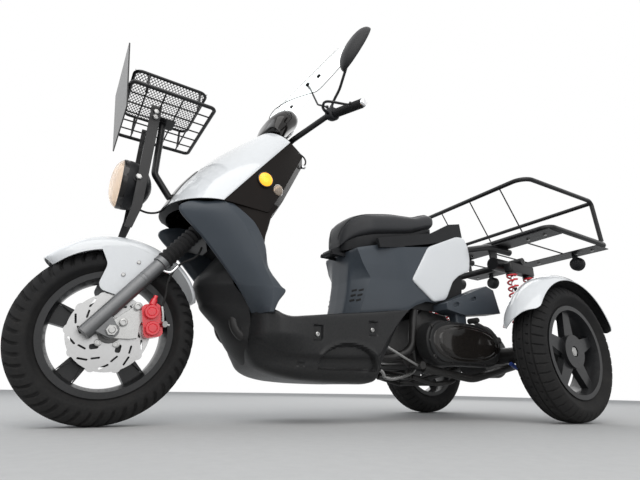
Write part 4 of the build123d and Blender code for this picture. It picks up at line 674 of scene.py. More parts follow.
def wing(side):
    # corners of the section at each height, from the folded lip back over the crease and round to the inside
    lip, crease, flank, back = level["lip"], level["crease"], level["side"], level["back"]
    lipY, creaseY, sideY, backY = (level[key + "Y"] for key in ("lip", "crease", "side", "back"))
    corners = [(lip + 16, lipY - 12), (lip + 3, lipY - 7), (lip, lipY), (lip + 4, lipY + 8),
        ((lip + crease) / 2 + 2, (lipY + 8 + creaseY) / 2), (crease, creaseY),
        (crease + (flank - crease) * 0.33, creaseY + (sideY - creaseY) * 0.46),
        (crease + (flank - crease) * 0.68, creaseY + (sideY - creaseY) * 0.8), (flank, sideY),
        (flank + (back - flank) * 0.6, sideY * 0.3 + backY * 0.7), (back - 5, backY - 1), (back, backY - 8),
        (back, backY - 40), (back, 70 + 0 * back), (back - 14, 70 + 0 * back), (back - 18, lipY - 17),
        (lip + 34, lipY - 14)]
    pts = np.stack([row(b, side * y, level["z"]) for b, y in corners], 1)
    return fromGrid(pts, closeCols=True, caps=True)


addPiece("shieldWings", bothSides(wing), "chassis", "paintedReflectionDarkPanel", ["leg_shield"], smooth=24, bevel=2)
panel = np.array([(305, 540, 126, 30), (262, 474, 126, 52), (232, 434, 127, 72), (226, 408, 128, 80),
    (230, 390, 130, 84), (246, 354, 122, 110), (257, 331, 116, 112), (306, 286, 108, 74), (345, 235, 100, 34),
    (380, 194, 76, 20), (412, 166, 46, 10)], float)
lineUp = smoothRow(panel, 90)
v = np.linspace(-1, 1, 41)[None, :]
panelGrid = row(lineUp[:, :1] + lineUp[:, 3:] * np.abs(v) ** 2.2, lineUp[:, 2:3] * v, lineUp[:, 1:2] + 0 * v)
skin("shieldFront", panelGrid, 5, row(600, 0, 420), "blackPlastic", ["leg_shield", "fork_well"], smooth=50)
wellTurn = np.radians(np.linspace(-118, 118, 49))[None, :]
roofRing = np.linspace(0.26, 1.0, 6)[:, None]
roof = fork(7 - 124 * np.cos(wellTurn) * roofRing, 126 * np.sin(wellTurn) * roofRing, 416 + 0 * roofRing)
addPiece("forkWell", [closedShell(roof, roof + np.array([0, 0, 0.004]))], "chassis", "blackPlastic",
    ["fork_well"], smooth=50)
neck = {"z": [666, 630, 602, 579, 550, 510, 480], "side": [226, 262, 300, 330, 350, 370, 380],
    "back": [430, 408, 400, 394, 386, 384, 386], "y": [176, 174, 173, 173, 174, 174, 172]}
drop = smoothRow(np.stack([neck[key] for key in ("z", "side", "back", "y")], -1), 40)
sweep = np.array([(0, 6, 0), (0.35, 5, 0), (0.7, 2, 0), (0.9, -1, 0), (0.97, -6, 0), (1.0, -16, 0),
    (1.0, -40, 2), (1.0, -90, 6)])
half = np.stack([row(drop[:, 1] + (drop[:, 2] - drop[:, 1]) * t - back, drop[:, 3] + out, drop[:, 0])
    for t, out, back in sweep], 1)
neckGrid = np.concatenate([half, (half * [1, -1, 1])[:, ::-1]], 1)
skin("cowlNeck", neckGrid, 5, row(320, 0, 560), "cowlBlack", ["leg_shield"], smooth=50, bevel=1)
riderBack = smoothRow([(630, 408), (602, 399), (556, 386), (500, 386), (453, 396), (400, 430), (376, 444),
    (340, 446), (306, 446)], 60)
v = np.linspace(-1, 1, 31)[None, :]
riderGrid = row(riderBack[:, 1:] - 10 * (1 - v ** 2), 132 * v, riderBack[:, :1] + 0 * v)
skin("shieldRiderSide", riderGrid, 6, row(200, 0, 450), "paintedReflectionDarkPanel", ["leg_shield"], smooth=50)
print("stage: cowl and leg shield formed")

# floor: hull sections from bow to stern, their widths from two curves, with recesses pressed into both sides

hull = {"d": [374, 378, 386, 398, 414, 432, 452, 480, 520, 560, 640, 760, 795, 812, 832, 866, 896, 938, 947],
    "keel": [246, 218, 200, 182, 163, 152, 144, 136, 129, 125, 121, 120, 122, 132, 180, 246, 300, 364, 376],
    "deck": [300, 318, 330, 334, 332, 324, 314, 310, 315, 321, 333, 350, 355, 358, 361, 367, 371, 377, 379],
    "low": [60, 72, 84, 98, 118, 138, 156, 175, 192, 200, 204, 205, 205, 205, 205, 205, 204, 202, 200],
    "high": [96, 104, 124, 150, 176, 192, 200, 203, 205, 205, 205, 205, 205, 205, 205, 205, 204, 202, 200],
    "recess": 8}
stations = np.concatenate([np.linspace(374, 400, 18)[:-1], np.linspace(400, 947, 150)])[:, None]
hullLine = {key: np.interp(stations, *smoothRow(np.stack([hull["d"], hull[key]], -1), 600).T)
    for key in ("keel", "deck", "low", "high")}
ribShape = smoothRow([(0, 0), (0.3, 0.0), (0.62, 0.0), (0.82, 0.03), (0.90, 0.10), (0.93, 0.20),
    (0.943, 0.29), (0.958, 0.335), (0.99, 0.375), (1.0, 0.43), (1.0, 0.62), (1.0, 0.80), (0.998, 0.91),
    (0.985, 0.965), (0.95, 0.998), (0.90, 1.0), (0.5, 1.0), (0, 1.0)], 120)
rib = np.concatenate([ribShape, (ribShape * [-1, 1])[::-1][1:-1]])
up = hullLine["keel"] + (hullLine["deck"] - hullLine["keel"]) * rib[None, :, 1]
breadth = hullLine["low"] + (hullLine["high"] - hullLine["low"]) * ramp(up, 170, 262)
y = breadth * rib[None, :, 0]
onSide = np.abs(rib[None, :, 0]) > 0.9


def boxMask(at, high, halfLong, halfTall, soft=3.0):
    # 1 inside a rectangle on the side, easing to 0 over a few millimetres
    return ramp(-np.maximum(np.abs(stations - at) - halfLong, np.abs(up - high) - halfTall), -soft, 0)


hatch = np.maximum(boxMask(566, 266, 15, 21), boxMask(780, 296, 15, 21))
oval = np.sqrt(((stations - 690) / 112) ** 2 + ((up - 166) / 72) ** 2)
peg = ramp(-oval, -1.02, -0.96) * ramp(up, 158, 164)
ridge = np.exp(-((oval - 1.09) / 0.05) ** 2) * ramp(up, 176, 200)
slotMask = boxMask(520, 172, 8, 3)
y = y - np.sign(y) * onSide * (hull["recess"] * hatch + 17 * peg + 4 * slotMask - 3.5 * ridge)
hullGrid = row(stations, y, up)
addPiece("floorHull", [fromGrid(hullGrid, closeCols=True, caps=True)], "chassis", "paintedShadeFloorPanel",
    ["floor_board"], smooth=32)
studProfile = [(0, 0), (0, 7.5), (4, 7.5), (5.5, 5.5), (5.5, 3), (3, 2.5), (3, 0)]
studs = [lathe(studProfile, row(at, side * 196.4, high), (0, side, 0), 18) for side in (1, -1)
    for at, high in ((566, 262), (780, 292))]
addPiece("floorStuds", studs, "chassis", "steel", smooth=30)
ribBack = [480, 560, 660, 740]
matLines = [tubeAlong(row(ribBack, left, np.interp(ribBack, hull["d"], hull["deck"]) + 1.2), 3.2, 8)
    for left in np.linspace(-120, 120, 13)]
addPiece("floorRibs", matLines, "chassis", "rubber", smooth=60)
print("stage: floor formed")

# cover under the seat: a ring of wall from its foot line to its top line, its nose bowed between two creases,
# and the tub inside

cover = {"foot": [(770, 352), (800, 360), (947, 379), (1000, 392), (1040, 420), (1062, 432), (1117, 430),
    (1185, 448), (1232, 529), (1272, 560), (1344, 593), (1353, 600)],
    "top": [(770, 604), (812, 616), (900, 636), (1032, 664), (1108, 684), (1200, 712), (1282, 738),
    (1327, 738), (1345, 706), (1353, 690)], "levelZ": [350, 385, 430, 492, 551, 607],
    "crease": [792, 801, 816, 838, 806, 788], "noseY": [110, 113, 118, 122, 118, 112],
    "front": [752, 758, 768, 777, 780, 783], "wall": 4, "middle": 1040, "back": 1353, "half": 158}
nose = np.linspace(-1, 1, 33)[1:-1]
flankD = np.array([0, 2, 6, 12, 24, 36, 50, 68, 90, 120, 150, 180, 210, 260, 310, 360, 400, 440, 470, 490,
    506, 516, 522, 524], float)
flankY = np.interp(flankD, [0, 140, 175, 480, 506, 518, 524], [0, 0.93, 1, 1, 0.94, 0.84, 0.70])
flankSide = np.concatenate([np.ones(len(flankD)), -np.ones(len(flankD))])
flankD, flankY = np.concatenate([flankD, flankD[::-1]]), np.concatenate([flankY, -flankY[::-1]])
s = np.linspace(0, 1, 56)[:, None]
footLine, topLine = smoothRow(cover["foot"], 300), smoothRow(cover["top"], 300)


def coverHeight(d, share):  # from the foot line to the top line
    return np.interp(d, *footLine.T) * (1 - share) + np.interp(d, *topLine.T) * share


def coverLayer(inset):
    # plan of the ring at each height: a blunt nose between two creases, then flanks that open to the full
    # width
    level = coverHeight(810 + flankD[None, :], s)
    crease, noseY = (np.interp(level, cover["levelZ"], cover[key]) for key in ("crease", "noseY"))
    flank = crease + flankD[None, :] * (cover["back"] - crease) / flankD.max()
    flankHalf = flankSide[None, :] * (noseY + (cover["half"] - noseY) * np.abs(flankY)[None, :])
    nearEnd = flankD[None, :] > 500
    flankHalf = np.where(nearEnd, cover["half"] * flankY[None, :], flankHalf)
    level = coverHeight(800 + 0 * nose[None, :], s)
    crease, noseY = (np.interp(level, cover["levelZ"], cover[key]) for key in ("crease", "noseY"))
    ahead = crease - np.interp(level, cover["levelZ"], cover["front"])
    front = crease - ahead * np.interp(np.abs(nose), [0, 0.42, 0.5, 0.56, 1], [1, 0.96, 0.90, 0.80, 0])[None,
        :]
    d, y = np.concatenate([flank, front], 1), np.concatenate([flankHalf, noseY * nose[None, :]], 1)
    z = coverHeight(d, s)
    y = y * (1 - 0.03 * ramp(s, 0.95, 1.0) - 0.02 * (1 - ramp(s, 0.0, 0.05)))
    pull = 1 - inset / np.maximum(np.hypot(d - cover["middle"], y), 40) * 1.25
    return row(cover["middle"] + (d - cover["middle"]) * pull, y * pull, z)


planD = np.concatenate([flankD, -40 * (1 - nose ** 2)])
planY = np.concatenate([flankSide * (118 + 40 * np.abs(flankY)), 118 * nose])
outerWall, innerWall = coverLayer(0), coverLayer(cover["wall"])


mouth = {"front": 868, "back": 985, "half": 100, "floor": 488}
count = len(planD)
ringTurn = np.arctan2(planY / cover["half"], (planD - 211) / 260)
square = 1 / np.maximum(np.abs(np.cos(ringTurn)), np.abs(np.sin(ringTurn)))
mouthD = (mouth["front"] + mouth["back"]) / 2 + (mouth["back"]
    - mouth["front"]) / 2 * np.cos(ringTurn) * square
mouthY = mouth["half"] * np.sin(ringTurn) * square
mouthZ = np.interp(mouthD, *topLine.T) - 9
mix = np.linspace(0, 1, 5)[:, None, None]
rimLoop = innerWall[-2]
deckTop = rimLoop[None] * (1 - mix) + row(mouthD, mouthY, mouthZ)[None] * mix
addPiece("seatCoverWall", [closedShell(outerWall, innerWall, ring=True),
    closedShell(deckTop, deckTop - np.array([0, 0, 0.004]), ring=True)], "chassis", "paintedReflectionDarkPanel",
    ["seat_cover"], smooth=26)
tubDepth = np.linspace(0, 1, 6)[:, None]
tubOut = row(mouthD + 0 * tubDepth, mouthY * (1 - 0.06 * tubDepth),
    mouthZ * (1 - tubDepth) + mouth["floor"] * tubDepth)
tubIn = row((mouthD - 915) * 0.95 + 915 + 0 * tubDepth, mouthY * (0.95 - 0.06 * tubDepth),
    mouthZ * (1 - tubDepth) + mouth["floor"] * tubDepth)
bottom = row(mouthD, mouthY * 0.94, mouth["floor"] + 0 * mouthD)
addPiece("storageTubShell", [closedShell(tubOut, tubIn, ring=True),
    (np.concatenate([bottom, bottom + np.array([0, 0, 0.003])]),
    [list(range(count)), list(range(count, 2 * count))[::-1]] + gridFaces(2, count,
    closeCols=True).tolist())], "chassis", "blackPlastic", ["storage_tub"], smooth=40)
earOutline = rounded([(713, 594), (717, 607), (727, 607), (733, 602), (806, 604), (812, 590), (728, 592),
    (718, 591)], 3, 4)
ears = bothSides(lambda k: prism(earOutline, lambda b, z, c: row(b, k * (31 + c), z), 6, 1))
addPiece("hingeEars", ears, "chassis", "blackPlastic", ["seat_cover"], smooth=40)
vents = []
for side in (1, -1):
    for z in (450, 431, 412):
        crease, ahead, noseY = (np.interp(z, cover["levelZ"], cover[key])
            for key in ("crease", "front", "noseY"))
        for share in (0.14, 0.54):
            # a slanted slot across a share of the flank, sunk into it
            spot = rounded([(share, z - 5), (share + 0.28, z - 2), (share + 0.28, z + 5), (share, z + 2)],
                0.05, 3)
            vents.append(prism(spot, lambda t, q, c, k=side, a=crease, b=0.8 * (crease - ahead),
                w=noseY: row(a - b * (1 - t) - c, k * w * (0.56 + 0.44 * t), q), 2.0))
addPiece("coverVents", vents, "chassis", "blackPlastic", ["seat_cover"], smooth=40)

# side panels: crowned plates whose rings shrink as they rise off the cover

panelOutline = np.array([(1282, 736), (1327, 738), (1347, 703), (1353, 653), (1344, 593), (1272, 560),
    (1232, 529), (1185, 448), (1117, 432), (1009, 505), (1108, 657)], float)
panelParts = []
for side in (1, -1):
    rim = rounded(panelOutline, 16, 6)
    middle = rim.mean(0)
    scale = np.array([1.0, 1.0, 0.985, 0.95, 0.86, 0.7, 0.45, 0.02])[:, None, None]
    lift = np.array([158.4, 162.0, 164.2, 165.3, 165.9, 166.2, 166.3, 166.3])
    rings = middle + (rim - middle) * scale
    panelParts.append(fromGrid(row(rings[..., 0], side * lift[:, None], rings[..., 1]), closeCols=True,
        caps=True))
addPiece("sidePanelSkins", panelParts, "chassis", "whitePanel", ["side_panels"], smooth=60)
print("stage: white panels formed")

# seat: a crowned body from its side outline, drawn in towards both flanks, with a welt along each top edge

seat = {"top": [(753, 650), (755, 682), (763, 710), (782, 742), (815, 765), (872, 777), (949, 792),
    (1020, 799), (1075, 806), (1120, 824), (1162, 838), (1192, 834), (1204, 812)],
    "low": [(757, 628), (763, 631), (774, 640), (792, 652), (820, 662), (900, 678), (1032, 705), (1090, 727),
    (1143, 749), (1168, 757), (1186, 765), (1196, 778), (1203, 800)],
    "half": [(752, 26), (756, 40), (765, 56), (780, 72), (800, 90), (826, 110), (858, 126), (930, 134),
    (1040, 136), (1130, 132), (1180, 124), (1205, 104)], "fullness": 3.6, "across": 61, "along": 120}
top = smoothRow(seat["top"], seat["along"])
low = smoothRow(seat["low"], seat["along"])
w = np.sin(np.linspace(-np.pi / 2, np.pi / 2, seat["across"]))[None, :]
swell = (1 - np.abs(w) ** seat["fullness"]) ** (1 / seat["fullness"])
core = low + (top - low) * 0.42
halfLine = smoothRow(seat["half"], 300)


def seatLayer(edge, drop):
    # the side outline shrinks towards its core line as it nears each flank, by the superellipse of the width
    b = core[:, None, 0] + (edge[:, None, 0] - core[:, None, 0]) * swell
    z = core[:, None, 1] + (edge[:, None, 1] - core[:, None, 1]) * swell - drop * np.abs(w) ** 2
    return row(b, np.interp(b, *halfLine.T) * w, z)


topLayer, lowLayer = seatLayer(top, 5.0), seatLayer(low, 0.0)
seatGrid = np.concatenate([topLayer, lowLayer[::-1]], axis=0)
cushion = addPiece("seatCushionPad", [fromGrid(seatGrid, closeRows=True)], "seat", "vinyl", ["seat_cushion"],
    smooth=60)
weltParts = bothSides(lambda k: tubeAlong(topLayer[4:-3, seat["across"] // 2 + k * 17] + np.array([0, 0,
    0.0004]), 2.1, 8))
addPiece("seatWelts", weltParts, "seat", "vinyl", smooth=60)
base = smoothRow([(764, 34), (772, 50), (786, 66), (812, 90), (860, 118), (930, 128), (1032, 130),
    (1090, 128), (1143, 122), (1180, 108)], 60)
baseHigh = np.interp(base[:, 0], *low.T) + 4
baseLow = np.maximum(np.interp(base[:, 0], *topLine.T) + 5, 612 + 0 * baseHigh)
baseRing = np.array([(-1, 1), (-0.99, 0.4), (-0.94, 0.0), (-0.5, 0), (0.5, 0), (0.94, 0.0), (0.99, 0.4),
    (1, 1), (0.5, 1), (-0.5, 1)])
baseGrid = row(base[:, :1] + 0 * baseRing[None, :, 0], base[:, 1:] * baseRing[None, :, 0],
    baseLow[:, None] + (baseHigh - baseLow)[:, None] * baseRing[None, :, 1])
baseParts = [fromGrid(baseGrid, closeCols=True, caps=True)]
for reach, radius, sides in ((27.5, 7, 28), (40, 5, 20)):
    baseParts.append(lathe([(-reach, 0), (-reach, radius), (reach, radius), (reach, 0)], row(722, 0, 600),
        (0, 1, 0), sides))
baseParts.append(prism(rounded([(716, 601), (724, 592), (777, 603), (790, 620), (790, 634), (764, 630),
    (720, 611)], 3, 4), lambda b, z, c: row(b, c - 27, z), 54, 1))
addPiece("seatPan", baseParts, "seat", "blackPlastic", ["seat_base"], smooth=45)
wallOutline = rounded([(1010, 400), (1300, 400), (1330, 560), (1300, 640), (1020, 600)], 20, 5)
inner = bothSides(lambda k: prism(wallOutline, lambda b, z, c: row(b, k * (128 + c), z), 4, 1))
addPiece("underSeatWalls", inner, "chassis", "blackPlastic", smooth=40)
print("stage: seat formed")

# instrument hood, dial and windscreen

hood = {"along": [872, 876, 905, 930, 960, 990, 1015, 1030, 1036],
    "front": [142, 157, 172, 181, 182, 177, 168, 160, 150], "back": [92, 86, 85, 84, 83, 82, 88, 95, 104],
    "half": [84, 95, 99, 100, 96, 88, 74, 58, 40], "power": 2.7}
a = circle(56)[None, :]
t = np.linspace(872, 1036, 34)[:, None]
hoodFront, hoodBack, hoodHalf = (rowValue(t, key, hood) for key in ("front", "back", "half"))
shape = 2 / hood["power"]
outward = power(np.cos(a), shape)
sideways = power(np.sin(a), shape)
hoodGrid = fork((hoodFront + hoodBack) / 2 + (hoodFront - hoodBack) / 2 * outward, hoodHalf * sideways, t)
addPiece("instrumentHood", [fromGrid(hoodGrid, closeCols=True, caps=True)], "steering", "glossBlack",
    ["instrument_hood"], smooth=50, bevel=2)
backwards = (-cosRake, 0, -sinRake)
dialSpot = fork(83.5, 0, 972)
addPiece("dialFace", [lathe([(0, 0), (0, 34), (1.6, 37), (1.6, 33), (0.6, 31), (0.6, 0)], dialSpot, backwards,
    48)], "steering", "dial")
addPiece("dialRim", [lathe([(0, 34), (3.4, 35.5), (3.4, 38.5), (0, 40)], dialSpot, backwards, 64,
    closed=True)], "steering", "chrome")

screen = {"lean": 32.9, "low": 950, "out": 150, "edge": -34, "middle": 44, "halfBow": 168, "wall": 3.0,
    "outline": [(60, 30), (62, 58), (74, 84), (100, 124), (128, 150), (160, 161), (270, 161), (400, 157),
    (470, 146), (520, 122), (545, 92), (554, 52), (555, 20)],
    "bolts": [(196, 104), (262, 118), (196, -104), (262, -118)]}
sinLean, cosLean = math.sin(math.radians(screen["lean"])), math.cos(math.radians(screen["lean"]))
screenUp, screenOut = np.array([-sinLean, 0, cosLean]), np.array([cosLean, 0, sinLean])
screenFoot = fork(screen["out"], 0, screen["low"])
bowRho = (screen["halfBow"] ** 2 + (screen["middle"] - screen["edge"]) ** 2) / (2
    * (screen["middle"] - screen["edge"]))


def onScreen(up, across, lift=0.0):  # arc across the width, carried up along the lean
    up, across = np.broadcast_arrays(np.asarray(up, float), across)
    out = screen["middle"] - bowRho + np.sqrt(bowRho ** 2 - across ** 2) + lift
    place = screenFoot + (up[..., None] * screenUp + out[..., None] * screenOut) / 1000
    return place + across[..., None] / 1000 * np.array([0, 1, 0])


edgeLine = smoothRow(screen["outline"], 76)
v = np.sin(np.linspace(-np.pi / 2, np.pi / 2, 45))[None, :]
sheetOuter = onScreen(edgeLine[:, :1], edgeLine[:, 1:] * v)
sheetInner = onScreen(edgeLine[:, :1], edgeLine[:, 1:] * v, -screen["wall"])
addPiece("windscreenSheet", [closedShell(sheetOuter, sheetInner)], "steering", "clearScreen", ["windscreen"],
    smooth=50, bevel=0.8)
boltCap = [(-6, 0), (-6, 8.5), (0, 8.5), (3.5, 8.5), (5.2, 6), (5.2, 0)]
screenBolts = [lathe(boltCap, onScreen(up, across), screenOut, 20) for up, across in screen["bolts"]]
addPiece("screenBolts", screenBolts, "steering", "rubber")
print("stage: hood and screen formed")

# bar end pieces: grips, switch housings, levers and mirrors

bar = {"x": 411.7, "z": 1007.5, "bendY": 188, "sweep": 74, "rise": 60.5, "endSweep": 125, "endRise": 44.5,
    "endY": 342, "gripIn": 228, "gripR": 16.8, "ribs": 20}


def onGrip(y):  # straight outer run of the left bar end
    share = (y - bar["bendY"]) / (bar["endY"] - bar["bendY"])
    back, high = bar["sweep"] + share * (bar["endSweep"]
        - bar["sweep"]), bar["rise"] + share * (bar["endRise"] - bar["rise"])
    return np.array([bar["x"] - back, y, bar["z"] + high]) / 1000


gripAxis = onGrip(bar["endY"]) - onGrip(bar["gripIn"])
gripLength = np.linalg.norm(gripAxis) * 1000
gripAxis = gripAxis * 1000 / gripLength
s = np.linspace(0, 1, 220)
ribbed = bar["gripR"] - 1.3 * (0.5 + 0.5 * np.cos(2 * np.pi * s * bar["ribs"])) * ramp(s, 0.05,
    0.08) * ramp(-s, -0.96, -0.93)
ribbed = ribbed + 0.2 * ramp(-s, -0.05, -0.0)
gripProfile = [(0, 11.5)] + [(x * gripLength, r) for x, r in zip(s, ribbed)] + [(gripLength, 11.5)]
endProfile = [(0, 0), (0, 12.5), (2, 15.8), (6, 15.8), (10, 14.5), (12.5, 11), (12.8, 0)]
gripParts, endParts, boxParts, leverParts, stemParts, shellParts, faceParts = ([] for k in range(7))
lens = {"lean": 23.0, "high": 124, "wide": 64, "deep": 41, "back": 12}
lean = math.radians(lens["lean"])
mirrorUp, mirrorBack = np.array([-math.sin(lean), 0, math.cos(lean)]), np.array([-math.cos(lean), 0,
    -math.sin(lean)])
for side in (1, -1):
    f = np.array([1, side, 1])
    gripParts.append(lathe(gripProfile, onGrip(bar["gripIn"]) * f, gripAxis * f, 28, closed=True))
    endParts.append(lathe(endProfile, onGrip(bar["endY"]) * f, gripAxis * f, 28))
    # switch box: rounded sections along the bar, drawn in at both ends
    share = np.linspace(0, 1, 15)[:, None]
    puff = (1 - np.abs(2 * share - 1) ** 3.2) ** 0.35
    phi = circle(32)[None, :]
    wide = 22.5 * (0.62 + 0.38 * puff) * power(np.cos(phi), 0.8)
    tall = (28.5 * (0.62 + 0.38 * puff) * power(np.sin(phi), 0.8)) * (1 - 0.12 * (np.sin(phi) < 0))
    mid = onGrip(198) + (onGrip(227.6) - onGrip(198)) * share[..., None]
    box = mid + np.stack([wide, 0 * wide, tall], -1) / 1000
    boxParts.append(fromGrid(box * f, closeCols=True, caps=True))
    far = onGrip(bar["endY"] - 8) * 1000
    near = onGrip(198) * 1000
    leverLine = smoothRow([near + (14, 16, -4), near + (40, 30, -7), near + (56, 48, -9),
        near + (58, 80, -11), far + (44, -14, -12), far + (42, 0, -10)], 40) / 1000
    taper = np.interp(np.linspace(0, 1, 40), [0, 0.1, 0.35, 0.85, 0.93, 0.97, 1], [6, 6, 5, 4.2, 5.6, 5.6, 3])
    leverParts.append(tubeAlong(leverLine * f, taper, 12))
    foot = onGrip(210) * 1000 + (0, 0, 24)
    knee = onGrip(210) * 1000 + (-4, 46, 85)
    neck = np.array([bar["x"] - 72, 318, bar["z"] + 188])
    stemLine = smoothRow([foot, foot + (0, 4, 16), (foot + knee) / 2 + (0, -5, 6), knee,
        (knee + neck) / 2 + (0, 1, 0), neck + (-3, 0, 10)], 40) / 1000
    stemParts.append(tubeAlong(stemLine * f, 5.2, 14))
    footPoint = (onGrip(210) + np.array([0, 0, 0.0225])) * f
    stemParts.append(lathe([(0, 0), (0, 10.5), (6, 10.5), (8, 8.5), (14, 7.5), (18, 5.5), (18, 0)], footPoint,
        (0, 0, 1), 20))
    centre = np.array([bar["x"] - 102, 326, bar["z"] + 288]) / 1000
    # mirror head: egg outline, wide above, swept from the glass rim to a point ahead by a quarter ellipse
    q = np.linspace(0, 1, 22)[:, None]
    shrink = np.cos(q * np.pi / 2) ** 0.75
    ahead = lens["deep"] * np.sin(q * np.pi / 2) - lens["back"]
    up = lens["high"] * np.sin(phi) * shrink
    egg = lens["wide"] * np.cos(phi) * (1 + 0.16 * np.sin(phi)) / 1.06 * shrink
    drift = -10 * (1 - shrink)
    head = centre + ((up + drift)[..., None] * mirrorUp + egg[...,
        None] * np.array([0, 1, 0]) - (ahead + 0 * phi)[..., None] * mirrorBack) / 1000
    shellParts.append(fromGrid(head * f, closeCols=True, caps=True))
    plate = np.array([0.0, 0.5, 0.9, 0.955])[::-1, None]
    up, egg = lens["high"] * np.sin(phi) * plate, lens["wide"] * np.cos(phi) * (1 + 0.16
        * np.sin(phi)) / 1.06 * plate
    glass = centre + (up[..., None] * mirrorUp + egg[..., None] * np.array([0, 1,
        0])) / 1000 + mirrorBack * (lens["back"] + 0.6) / 1000
    faceParts.append(fromGrid(glass * f, closeCols=True))
for name, parts, mat, replaced, look in (
        ("gripRubbers", gripParts, "rubber", ["grips"], dict(smooth=70)),
        ("barEnds", endParts, "chrome", [], dict(smooth=40)),
        ("switchBoxes", boxParts, "blackPlastic", ["switch_housings"], dict(smooth=50, bevel=1.5)),
        ("controlLevers", leverParts, "blackTube", [], dict(smooth=60)),
        ("mirrorStems", stemParts, "blackTube", [], dict(smooth=60)),
        ("mirrorShells", shellParts, "blackPlastic", ["mirrors"], dict(smooth=50, bevel=1.5)),
        ("mirrorGlasses", faceParts, "mirrorFace", [], dict(smooth=60))):
    addPiece(name, parts, "steering", mat, replaced, **look)
print("stage: bar ends and mirrors formed")

# lamps: fluted headlight lens with its rim and bowl, indicators, small marker lamps, rear lamps

lamp = {"z": 690, "radius": 76, "front": 66, "seat": 32.4, "fluteWidth": 8.5, "fluteDepth": 0.7}
u = np.linspace(0, 1, 44)[:, None]
phi = circle(120)[None, :]
dome = lamp["seat"] + (lamp["front"] - lamp["seat"]) * np.sqrt(np.clip(1 - u ** 2.4, 0, 1))
lensY, lensZ = lamp["radius"] * u * np.sin(phi), lamp["radius"] * u * np.cos(phi)
flute = lamp["fluteDepth"] * (0.5 - 0.5 * np.cos(2 * np.pi * lensY / lamp["fluteWidth"])) * ramp(-u, -0.97,
    -0.9)
lensGrid = row(-(dome - flute), lensY, lamp["z"] + lensZ)
backGrid = row(-(np.full_like(dome, lamp["seat"]) + 0 * phi), lensY, lamp["z"] + lensZ)
addPiece("headlightGlass", [fromGrid(np.concatenate([lensGrid, backGrid[::-1][1:]]), closeCols=True)],
    "chassis", "lampGlass", ["headlight_lens"], smooth=70)
rimProfile = [(24, 77.2), (30, 77.8), (37, 77.6), (40, 76), (39.5, 74.2), (34.5, 73.8), (30, 76.2)]
bowl = smoothRow([(32, 76.5), (18, 77.5), (0, 74.5), (-18, 66), (-34, 51), (-46, 32), (-52.5, 12), (-54, 0)],
    40)
lampCentre = row(0, 0, lamp["z"])
bowlPart = lathe([(32, 0)] + [tuple(p) for p in bowl], lampCentre, (1, 0, 0), 72)
bossParts = [lathe([(62, 0), (62, 13), (78.2, 13), (78.2, 0)], lampCentre, (0, s, 0), 28) for s in (1, -1)]
addPiece("headlightBowl", [bowlPart] + bossParts, "chassis", "blackPlastic", ["headlight_housing"], smooth=50)
addPiece("headlightRim", [lathe(rimProfile, lampCentre, (1, 0, 0), 96, closed=True)], "chassis", "glossBlack",
    smooth=50)
addPiece("bracketBolts", flankBolts([(3, 690), (20, 925), (20, 905)], 84.1, 9.5, 6), "chassis", "steel",
    smooth=30)


def domed(start, height, radius, count):  # a quarter ellipse from near the rim to the crown
    return [(start + height * math.sin(k), radius * math.cos(k))
        for k in np.linspace(0.05, math.pi / 2, count)]


indicatorParts, seatParts = [], []
for side in (1, -1):
    at = row(367, side * 181.0, 742)
    indicatorParts.append(lathe([(0, 0), (0, 23.8), (3, 23.8)] + domed(3, 9.8, 23.6, 9), at, (0, side, 0),
        40))
    seatParts.append(lathe([(-10, 0), (-10, 20), (-2, 27.2), (2, 27.2), (3.5, 25.2), (3.5, 24), (-2, 0)], at,
        (0, side, 0), 40))
marker, markerBack = [], []
for side in (1, -1):
    at, axis = row(419, side * 168.0, 722), (-0.3, side, -0.15)
    marker.append(lathe([(2, 0), (2, 18), (4, 18.5)] + domed(4, 9, 18.5, 8), at, axis, 32))
    markerBack.append(lathe([(-12, 0), (-12, 12), (1, 20.5), (3, 20.5), (3, 19), (0, 16), (-6, 6), (-7, 0)],
        at, axis, 32))
addPiece("markerLenses", marker, "chassis", "lampGlass", ["inner_cowl"], smooth=50)
addPiece("markerBowls", markerBack, "chassis", "chrome", ["inner_cowl"], smooth=50)
addPiece("indicatorLenses", indicatorParts, "chassis", "amber", ["front_indicators"], smooth=50)
addPiece("indicatorSeats", seatParts, "chassis", "glossBlack", smooth=50)
tailParts, tailCups = [], []
for side in (1, -1):
    at = row(2040, side * 250, 722)
    tailCups.append(lathe([(0, 0), (0, 18), (6, 30), (16, 34), (34, 34), (34, 31), (28, 30), (28, 0)], at,
        (-1, 0, 0), 48))
    tailCups.append(prism([(-10, 20), (10, 20), (10, 47.6), (-10, 47.6)], lambda a, b, c,
        s=side: row(2042 + c, s * 250 + a, 722 + b), 20, 1.5))
    tailParts.append(lathe([(26, 0), (26, 30.5), (34, 30.5), (37.5, 25), (39.5, 12), (40, 0)], at, (-1, 0, 0),
        48))
addPiece("tailLampCups", tailCups, "chassis", "blackPlastic", ["rear_lamps"], smooth=45)
addPiece("tailLampLenses", tailParts, "chassis", "redLens", smooth=60)
print("stage: lamps formed")

# expanded mesh deck: zigzag strands, each touching its neighbours at every other bend

